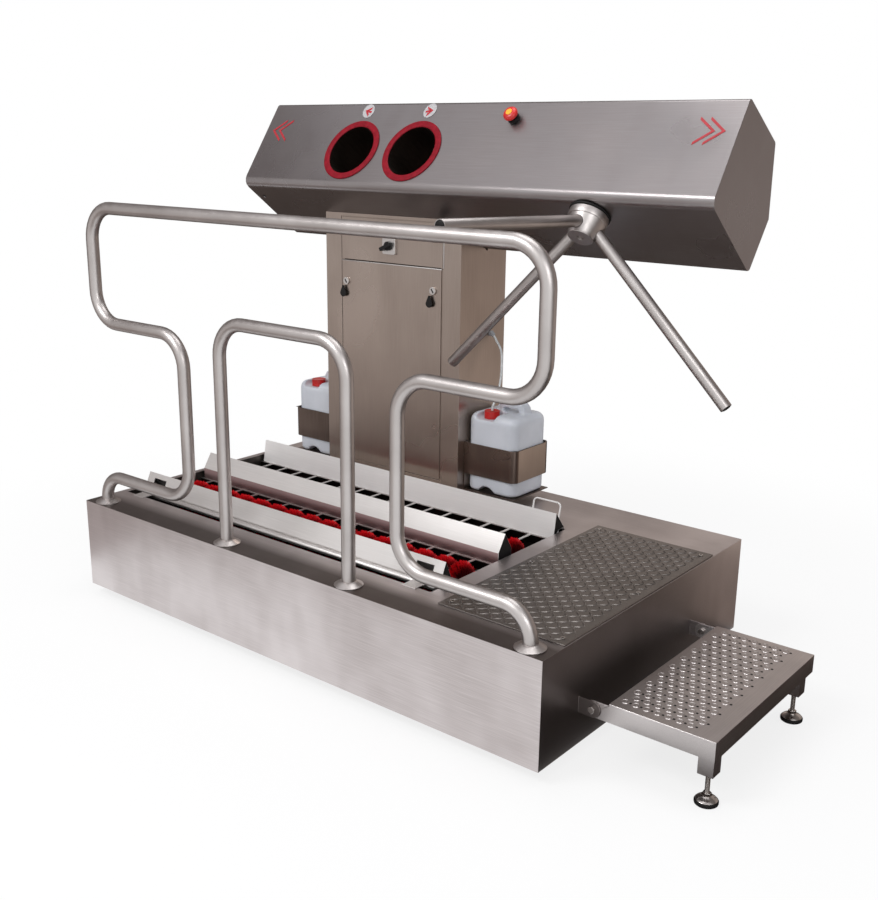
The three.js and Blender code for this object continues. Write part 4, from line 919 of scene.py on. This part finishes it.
def make_rails():
    long_rail = (
        (66, DECK), (66, LOW_RUN), (492, LOW_RUN), (492, MIDDLE_RUN), (80, MIDDLE_RUN),
        (80, LONG_TOP), (1751, LONG_TOP), (1751, MIDDLE_RUN), (1319, MIDDLE_RUN),
        (1319, LOW_RUN), (1738, LOW_RUN), (1738, DECK),
    )
    short_rail = ((654, DECK), (654, SHORT_TOP), (1148, SHORT_TOP), (1148, DECK))
    for name, run, bends in (
        ("long", long_rail, [RAIL_FOOT_BEND] + [RAIL_BEND] * 8 + [RAIL_FOOT_BEND]),
        ("short", short_rail, [RAIL_BEND] * 2),
    ):
        corners = [shop(x, RAIL_Y, z) for x, z in run]
        pieces = [bent_tube(corners, bends, RAIL_RADIUS, 32, 10)]
        for foot in (corners[0], corners[-1]):
            cover = turned(RAIL_COVER)
            cover.location = foot
            pieces.append(cover)
        join(pieces)
        finish_piece(f"bent_rail_{name}", "satin_tube", "base", "tube_steel", 35, f"rail_{name}")


# Turnstile: a turned hub with drilled sockets, three tube arms with plugs, and its gasket

HUB_AXIS = Vector((0, -0.59899, -0.80076))
HUB_PLACE = placed(ALONG, HUB_AXIS.cross(ALONG), HUB_AXIS, (0.324, 0.218153, 1.28637))
ARMS = 3
ARM_TILT = math.radians(54.7356)
ARM_SEAT = 0.024
ARM_START = 0.034
ARM_END = 0.6533
ARM_RADIUS = 0.017
ARM_WALL = 0.0022
SOCKET_DEPTH = 0.1


def arm_place(index):
    turn = QUARTER + 2 * math.pi * index / ARMS
    across = math.sin(ARM_TILT)
    way = Vector((across * math.cos(turn), across * math.sin(turn), math.cos(ARM_TILT)))
    lean = way.to_track_quat("Z", "Y").to_matrix().to_4x4()
    return HUB_PLACE @ at(0, 0, ARM_SEAT) @ lean


def make_turnstile():
    hub = turned([
        (0.056, 0.0063), (0.058, 0.008), (0.058, 0.0265), (0.057, 0.0283), (0.0548, 0.029),
        (0.044, 0.0593), (0.04, 0.0715), (0.038, 0.0763), (0.038, 0.0801), (0.037, 0.0813),
        (0.0105, 0.0813), (0.009, 0.0803), (0.009, 0.0763),
    ], 64)
    hub.matrix_world = HUB_PLACE
    for index in range(ARMS):
        bpy.ops.mesh.primitive_cylinder_add(
            radius=ARM_RADIUS + 0.0012, depth=SOCKET_DEPTH, vertices=48
        )
        socket = bpy.context.object
        middle = ARM_START - 0.0005 + SOCKET_DEPTH / 2
        socket.matrix_world = arm_place(index) @ at(0, 0, middle)
        cut_away(hub, socket)
    finish_piece("turned_hub", "satin_tube", "turnstile", "tube_steel", 30, "turnstile_hub")

    tube_arm = [
        (ARM_RADIUS - 0.001, ARM_START), (ARM_RADIUS, ARM_START + 0.001),
        (ARM_RADIUS, ARM_END - 0.001), (ARM_RADIUS - 0.0006, ARM_END),
        (ARM_RADIUS - ARM_WALL, ARM_END), (ARM_RADIUS - ARM_WALL, ARM_END - 0.006),
    ]
    arm_plug = [
        (0.014, ARM_END - 0.005), (0.0146, ARM_END - 0.001), (0.0138, ARM_END + 0.0008),
        (0.0105, ARM_END + 0.0022), (0.005, ARM_END + 0.0029), (0.0012, ARM_END + 0.003),
    ]
    for index in range(ARMS):
        number, place = index + 1, arm_place(index)
        turned_part(
            f"tube_arm_{number}", tube_arm, 32, place, "satin_tube", "turnstile", "tube_steel", 35,
            stands_for=f"turnstile_arm_{number}",
        )
        turned_part(
            f"arm_plug_{number}", arm_plug, 24, place, "black_rubber", "turnstile",
            "black_plastic", 50,
        )
    turned_part("hub_gasket", [
        (0.06, 0.0004), (0.061, 0.0012), (0.061, 0.0052), (0.0602, 0.006), (0.02, 0.006),
        (0.02, 0.0004), (0.06, 0.0004),
    ], 64, HUB_PLACE, "black_rubber", "base", "black_plastic", 35, True, "turnstile_gasket")


# Levelling feet: a rubber pad under a domed plate, a nut and a threaded spindle

FOOT_X = 1.055
THREAD_LOW, THREAD_HIGH, THREAD_PITCH = 0.0292, 0.0985, 0.0016
THREAD_ROOT, THREAD_CREST = 0.0053, 0.006


def make_feet():
    thread = [(THREAD_ROOT, 0.0286)]
    height = THREAD_LOW
    while height < THREAD_HIGH:
        thread += [
            (THREAD_CREST, height), (THREAD_CREST, height + 0.0005), (THREAD_ROOT, height + 0.001)
        ]
        height += THREAD_PITCH
    for side, y in (("front", -0.3405), ("rear", 0.1645)):
        place = at(FOOT_X, y, 0)
        body = f"step_foot_{side}"
        turned_part(f"foot_pad_{side}", [
            (0.027, 0), (0.0285, 0.0012), (0.029, 0.0035), (0.029, 0.0078), (0.028, 0.0096),
            (0.02, 0.0098),
        ], 40, place, "black_rubber", body, "black_plastic", 35)
        dome = turned([
            (0.0262, 0.0097), (0.0265, 0.0112), (0.0245, 0.0132), (0.0205, 0.015), (0.016, 0.0168),
            (0.0125, 0.0188), (0.0112, 0.02),
        ], 40)
        nut = turned([(0.0104, 0.0198), (0.011, 0.0204), (0.011, 0.0282), (0.0104, 0.0288)], 6)
        spindle = turned(thread + [(0.0046, 0.0989)], 16)
        join([dome, nut, spindle]).matrix_world = place
        finish_piece(f"foot_spindle_{side}", "turned_steel", body, "tube_steel", 35, body)


# Hand openings: moulded rings, and the stop and push buttons

def make_rings():
    for side, x in (("left", 0.474), ("right", 0.732)):
        node = f"hand_ring_{side}"
        turned_part(f"moulded_ring_{side}", [
            (0.0885, 0.0004), (0.1092, 0.0004), (0.11, 0.001), (0.1098, 0.0026), (0.1085, 0.004),
            (0.105, 0.0045), (0.093, 0.0045), (0.0895, 0.0036), (0.088, 0.0018), (0.0885, 0.0004),
        ], 96, on_face(x, 0.139, 0), "crimson_rubber", "base", slot_of_node[node], 50, True, node)


def make_buttons():
    stop = on_face(1.077, 0.257, 0)
    turned_part("stop_collar", [
        (0.0112, 0.0004), (0.0182, 0.0004), (0.019, 0.0014), (0.019, 0.0095), (0.018, 0.0112),
        (0.015, 0.012), (0.0118, 0.012), (0.0112, 0.0114), (0.0112, 0.0004),
    ], 40, stop, "black_plastic", "base", "black_plastic", 40, True, "estop_collar")
    turned_part("stop_head", [
        (0.01, 0.009), (0.0105, 0.0196), (0.0215, 0.0206), (0.023, 0.023), (0.023, 0.0262),
        (0.022, 0.03), (0.019, 0.0334), (0.015, 0.0354), (0.008, 0.0362), (0.002, 0.0364),
    ], 48, stop, "red_cap", "estop_button", "red_plastic", 40, False, "estop_button")
    turned_part("stop_mark", [
        (0.01, 0.035), (0.0104, 0.036), (0.01, 0.0368), (0.007, 0.0372), (0.002, 0.0373),
    ], 40, stop, "yellow_plastic", "estop_button", "red_plastic", 50)

    push = on_tower(shop(795, 821, 1183))
    turned_part("push_collar", [
        (0.02, 0.0004), (0.021, 0.0014), (0.021, 0.0052), (0.0195, 0.0068), (0.0172, 0.007),
        (0.0162, 0.006),
    ], 40, push, "black_plastic", "base", "black_plastic", 40, False, "push_button_collar")
    turned_part("push_cap", [
        (0.0142, 0.005), (0.015, 0.012), (0.015, 0.0215), (0.014, 0.0232), (0.012, 0.0236),
        (0.0112, 0.0228), (0.002, 0.0226),
    ], 40, push, "black_plastic", "push_button", "black_plastic", 40, False, "push_button")


# Sheet and cast parts with the small round edges that real ones have

HOLDER_BEND = 0.022
# End faces along X: the holders and the tower get a lighter copy of their steel, painted light on
# their sides; the guards' end faces get the black finish.
END_FINISH = {"guard": "black_rubber", "holder": "side_sheet_painted_light", "tower": "side_sheet_painted_light"}


def soften_parts():
    for finish, edge, members in (
        ("base_sheet", 0.0014, ("base_housing",)),
        ("front_sheet", 0.001, ("tower_housing", "tower_door", "tower_switch_panel")),
        ("head_sheet_painted_shade", 0.0012, ("head_shell",)),
        ("guard_sheet", 0.0006, ("guard_front", "guard_middle")),
        ("rear_guard_painted_light", 0.0006, ("guard_rear",)),
        ("tread_sheet", 0.0012, ("step_tread",)),
        ("holder_sheet", 0.0008, ("holder_left", "holder_right")),
        ("tear_plate", 0.001, ("platform_plate",)),
        (
            "turned_steel", 0.0008,
            ("door_lock_left", "door_lock_right", "step_bolt_front", "step_bolt_rear"),
        ),
        ("plate", 0.0008, ("main_switch_plate",)),
        ("black_plastic", 0.0008, ("main_switch_knob", "lock_flap_left", "lock_flap_right")),
    ):
        for node in members:
            piece = softened(node, edge, finish)
            ends = finishes.get(END_FINISH.get(node.split("_")[0]))
            if ends:
                refinish(piece, ends, lambda face: abs(face.normal.x) > 0.95 and face.area > 0.0003)
            # the middle guard's front faces take the dark red copy: painted shade and a painted
            # reflection of the brush
            if node == "guard_middle":
                skirt = finishes["skirt_painted_reflection"]
                refinish(piece, skirt, lambda face: face.normal.y < -0.99 and face.area > 0.01)


def softened(node, edge, finish):
    """A merged copy of a part with its edges rounded, in the part's own place."""
    piece = activate(copy_of(nodes[node], Matrix.Identity(4)))
    piece.parent = None
    piece.matrix_world = Matrix.Identity(4)
    in_edit()
    bpy.ops.mesh.remove_doubles(threshold=MERGE)
    bpy.ops.mesh.dissolve_limited(angle_limit=math.radians(2))
    done_editing()
    if node.startswith("holder"):
        round_over("EDGE", holder_corner(node), HOLDER_BEND, 8)
    in_edit()
    bpy.ops.mesh.quads_convert_to_tris(quad_method="BEAUTY", ngon_method="BEAUTY")
    done_editing()
    apply_modifier(
        "BEVEL", width=edge, segments=2, limit_method="ANGLE", angle_limit=math.radians(38),
        use_clamp_overlap=False, miter_outer="MITER_ARC",
    )
    finish_piece(f"rounded_{node}", finish, body_of_node[node], slot_of_node[node], 40, node)
    apply_modifier("WEIGHTED_NORMAL", keep_sharp=True, weight=60)
    return piece


def refinish(piece, finish, test):
    """Gives the faces that pass a test another finish."""
    piece.data.materials.append(finish)
    for face in piece.data.polygons:
        if test(face):
            face.material_index = len(piece.data.materials) - 1


def holder_corner(node):
    """A test for the upright edges of a holder's band on the side away from the tower."""
    low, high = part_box(node)
    side = high.x if node == "holder_right" else low.x
    sheet = 0.0035

    def test(a, b):
        tall = abs(a.z - b.z) > 0.05
        plumb = abs(a.x - b.x) < 0.0005 and abs(a.y - b.y) < 0.0005
        outer = abs(a.x - side) < sheet and min(abs(a.y - low.y), abs(a.y - high.y)) < sheet
        return tall and plumb and outer
    return test


def make_tower_trim():
    """Strips of lighter steel on the door's top edge and the frame's edge, painted highlight on the
    folded edges, and the lock faces with black key ways, painted shade in the slots.
    """
    # lighter steel strips standing proud on the edges: painted highlight
    for name, body, low, high in (
        ("door_hem_highlight", "tower_door", shop(384.5, 818.6, 1075.6), shop(827, 821.5, 1079.6)),
        ("frame_hem_highlight", "base", shop(830.6, 819.2, 1082), shop(836, 821.5, 1262)),
    ):
        rounded_block(low, high, 0.0008)
        finish_piece(name, "plate", body, "sheet_steel", 40)
    face = [(0.0118, -0.0012), (0.0124, -0.0006), (0.0124, 0), (0.0114, 0.0001), (0.0012, 0.0002)]
    for side, x in (("left", 406), ("right", 791)):
        place, body = on_tower(shop(x, 814.8, 1007)), f"door_lock_{side}"
        turned_part(f"lock_face_{side}", face, 36, place, "plate", body, "sheet_steel", 40)
        # a black block on each lock face stands for the key way: painted shade
        key_way_shade = rounded_block((-0.0026, -0.0075, -0.0003), (0.0026, 0.0075, 0.0003), 0.0002)
        key_way_shade.matrix_world = place @ spun(0.6, "Z")
        finish_piece(f"key_way_shade_{side}", "black_plastic", body, "black_plastic", 40)


def make_front_hem():
    """The round bar along the front guard's lower edge."""
    start, end = shop(52, 189, 319), shop(1330, 189, 319)
    length = end.x - start.x
    turned_part("front_hem", [
        (0.006, 0.0005), (0.0084, 0.0012), (0.009, 0.003), (0.009, length - 0.003),
        (0.0084, length - 0.0012), (0.006, length - 0.0005),
    ], 32, at(*start) @ spun(QUARTER, "Y"),
        "guard_sheet", "guard_front", "sheet_steel", 40)


# Studio: world, lamps, reflection cards and floor

WHITE = (1, 1, 1, 1)


def larger(tree, first, second):
    return wired(tree, "Math", first, second, operation="MAXIMUM").outputs[0]


def world_and_lamps():
    scene = bpy.context.scene
    scene.view_settings.view_transform = "Standard"
    world = bpy.data.worlds.new("studio")
    scene.world = world
    world.use_nodes = True
    tree = world.node_tree
    tree.nodes.clear()
    path = wired(tree, "LightPath").outputs
    seen = larger(tree, path["Is Camera Ray"], path["Is Glossy Ray"])
    seen = larger(tree, seen, path["Is Transmission Ray"])
    soft = wired(tree, "Background", Color=(0.8, 0.8, 0.82, 1), Strength=0.65)
    white = wired(tree, "Background", Color=WHITE, Strength=1.0)
    mix = wired(tree, "MixShader", seen, soft.outputs[0], white.outputs[0])
    wired(tree, "OutputWorld", mix.outputs[0])

    for name, place, aim, size, power in (
        ("key_lamp", (-1.1, -3.3, 4.1), (0, 0, 0.6), 2.2, 100),
        ("fill_lamp", (3.6, -2.6, 2.6), (0.2, 0, 0.6), 2.0, 30),
        ("top_lamp", (0.2, 0.4, 4.2), (0, 0, 0), 2.6, 40),
    ):
        data = bpy.data.lights.new(name, "AREA")
        data.shape = "DISK"
        data.size = size
        data.energy = power
        lamp = bpy.data.objects.new(name, data)
        scene.collection.objects.link(lamp)
        lamp.location = place
        lamp.rotation_euler = (Vector(place) - Vector(aim)).to_track_quat("Z", "Y").to_euler()


FLOOR_CARD_Z = 0.004
CARD_THICKNESS = 0.001


def make_cards():
    """Cards that only reflections see, as a photographer hangs them for bare metal."""
    low_z, high_z = FLOOR_CARD_Z, 4.4
    for name, low, high, tone in (
        ("floor_step", (0.74, -0.56, low_z), (8, 0.6, low_z), (0.03, 0.022, 0.019)),
        ("floor_right", (0.74, 0.6, low_z), (8, 1.3, low_z), (0.24, 0.19, 0.165)),
        ("floor_side", (0.74, 1.3, low_z), (8, 2.2, low_z), (0.55, 0.46, 0.4)),
        ("floor_away", (0.74, 2.2, low_z), (8, 7, low_z), (0.7, 0.6, 0.54)),
        ("floor_back", (-8, 0.62, low_z), (0.74, 7, low_z), (0.1, 0.08, 0.07)),
        ("floor_left", (-8, -0.3, low_z), (-1.12, 0.62, low_z), (0.16, 0.125, 0.11)),
        ("floor_corner", (-9, -1.25, low_z), (-1.35, -0.62, low_z), (0.45, 0.4, 0.39)),
        ("floor_front", (-9, -2.4, low_z), (-0.3, -1.25, low_z), (0.36, 0.31, 0.29)),
        ("floor_far", (-9, -8, low_z), (0.0, -2.4, low_z), (0.76, 0.71, 0.69)),
        ("wall_left", (-6.5, -3.8, 0), (-6.5, 5, high_z), (0.24, 0.21, 0.2)),
        ("wall_far", (-6.5, -8.5, 0), (-6.5, -3.8, 9), (0.7, 0.67, 0.66)),
        ("wall_back", (-6.5, 5, 0), (1.6, 5, 3.2), (0.54, 0.47, 0.43)),
        ("wall_back_right", (1.6, 5, 0), (8, 5, high_z), (0.4, 0.34, 0.31)),
        ("wall_back_high", (-6.5, 5, 3.2), (1.6, 5, high_z), (0.18, 0.16, 0.15)),
        ("wall_right", (8, -1.5, 0), (8, 5, high_z), (0.22, 0.185, 0.17)),
        ("ceiling_left", (-6.5, -3.2, high_z), (-3.9, 7, high_z), (0.26, 0.23, 0.225)),
        ("ceiling", (-3.9, -3.2, high_z), (8, 0.5, high_z), (0.68, 0.66, 0.67)),
        ("ceiling_back", (-3.9, 0.5, high_z), (8, 7, high_z), (0.18, 0.16, 0.15)),
    ):
        low, high = Vector(low), Vector(high)
        bpy.ops.mesh.primitive_cube_add(size=1, location=(low + high) / 2)
        card = bpy.context.object
        card.scale = [max(v, CARD_THICKNESS) for v in high - low]
        bake_place()
        card.name = f"card_{name}"
        material = bpy.data.materials.new(card.name)
        material.use_nodes = True
        tree = material.node_tree
        tree.nodes.clear()
        wired(tree, "OutputMaterial", wired(tree, "Emission", Color=(*tone, 1)).outputs[0])
        card.data.materials.append(material)
        for ray in ("camera", "diffuse", "shadow", "transmission", "volume_scatter"):
            setattr(card, f"visible_{ray}", False)


def make_floor():
    """A pale floor that camera and reflections see fade to white, and that keeps the shadow."""
    bpy.ops.mesh.primitive_plane_add(size=80, location=(0, 0, 0))
    floor = bpy.context.object
    floor.name = "studio_floor"
    pale = Finish("pale_floor", (0.92, 0.92, 0.92), 0.9)
    middle = pale.node("TexCoord").outputs["Object"]
    away = pale.node("VectorMath", middle, operation="LENGTH").outputs["Value"]
    fade = pale.node(
        "MapRange", away, interpolation_type="SMOOTHSTEP",
        From_Min=1.0, From_Max=2.6, To_Min=0.8, To_Max=1.0,
    )
    path = pale.node("LightPath").outputs
    seen = larger(pale.tree, path["Is Camera Ray"], path["Is Glossy Ray"])
    share = pale.math("MULTIPLY", seen, fade.outputs["Result"])
    glow = pale.node("Emission", Color=WHITE).outputs[0]
    mix = pale.node("MixShader", share, pale.shader.outputs[0], glow)
    pale.tree.links.new(mix.outputs[0], pale.tree.nodes["Material Output"].inputs["Surface"])
    floor.data.materials.append(pale.material)


set_camera()
finishes = make_finishes()
make_hose()
soften_parts()
dress("grate_steel", "grate_front", "grate_rear")
# the trough and frame beams take the near-black copy: painted shade
dress("tub_sheet_painted_shade", "trough", "frame_beam_front", "frame_beam_rear")
dress(
    "turned_steel", "shaft_front", "shaft_rear", "drive_chain",
    "hand_nozzle_left", "hand_nozzle_right",
)
# the hand chambers take the dark copy: painted shade inside the openings
dress("chamber_painted_shade", "hand_chamber_left", "hand_chamber_right")
dress(
    "machine_paint", "drive_motor", "turnstile_brake", "hose_fitting",
    "control_box", "dosing_pump",
)
make_rollers()
make_tower_trim()
make_front_hem()
make_canisters()
make_platform()
make_tread()
make_rails()
make_turnstile()
make_feet()
make_rings()
make_buttons()
make_signs()
world_and_lamps()
make_cards()
make_floor()
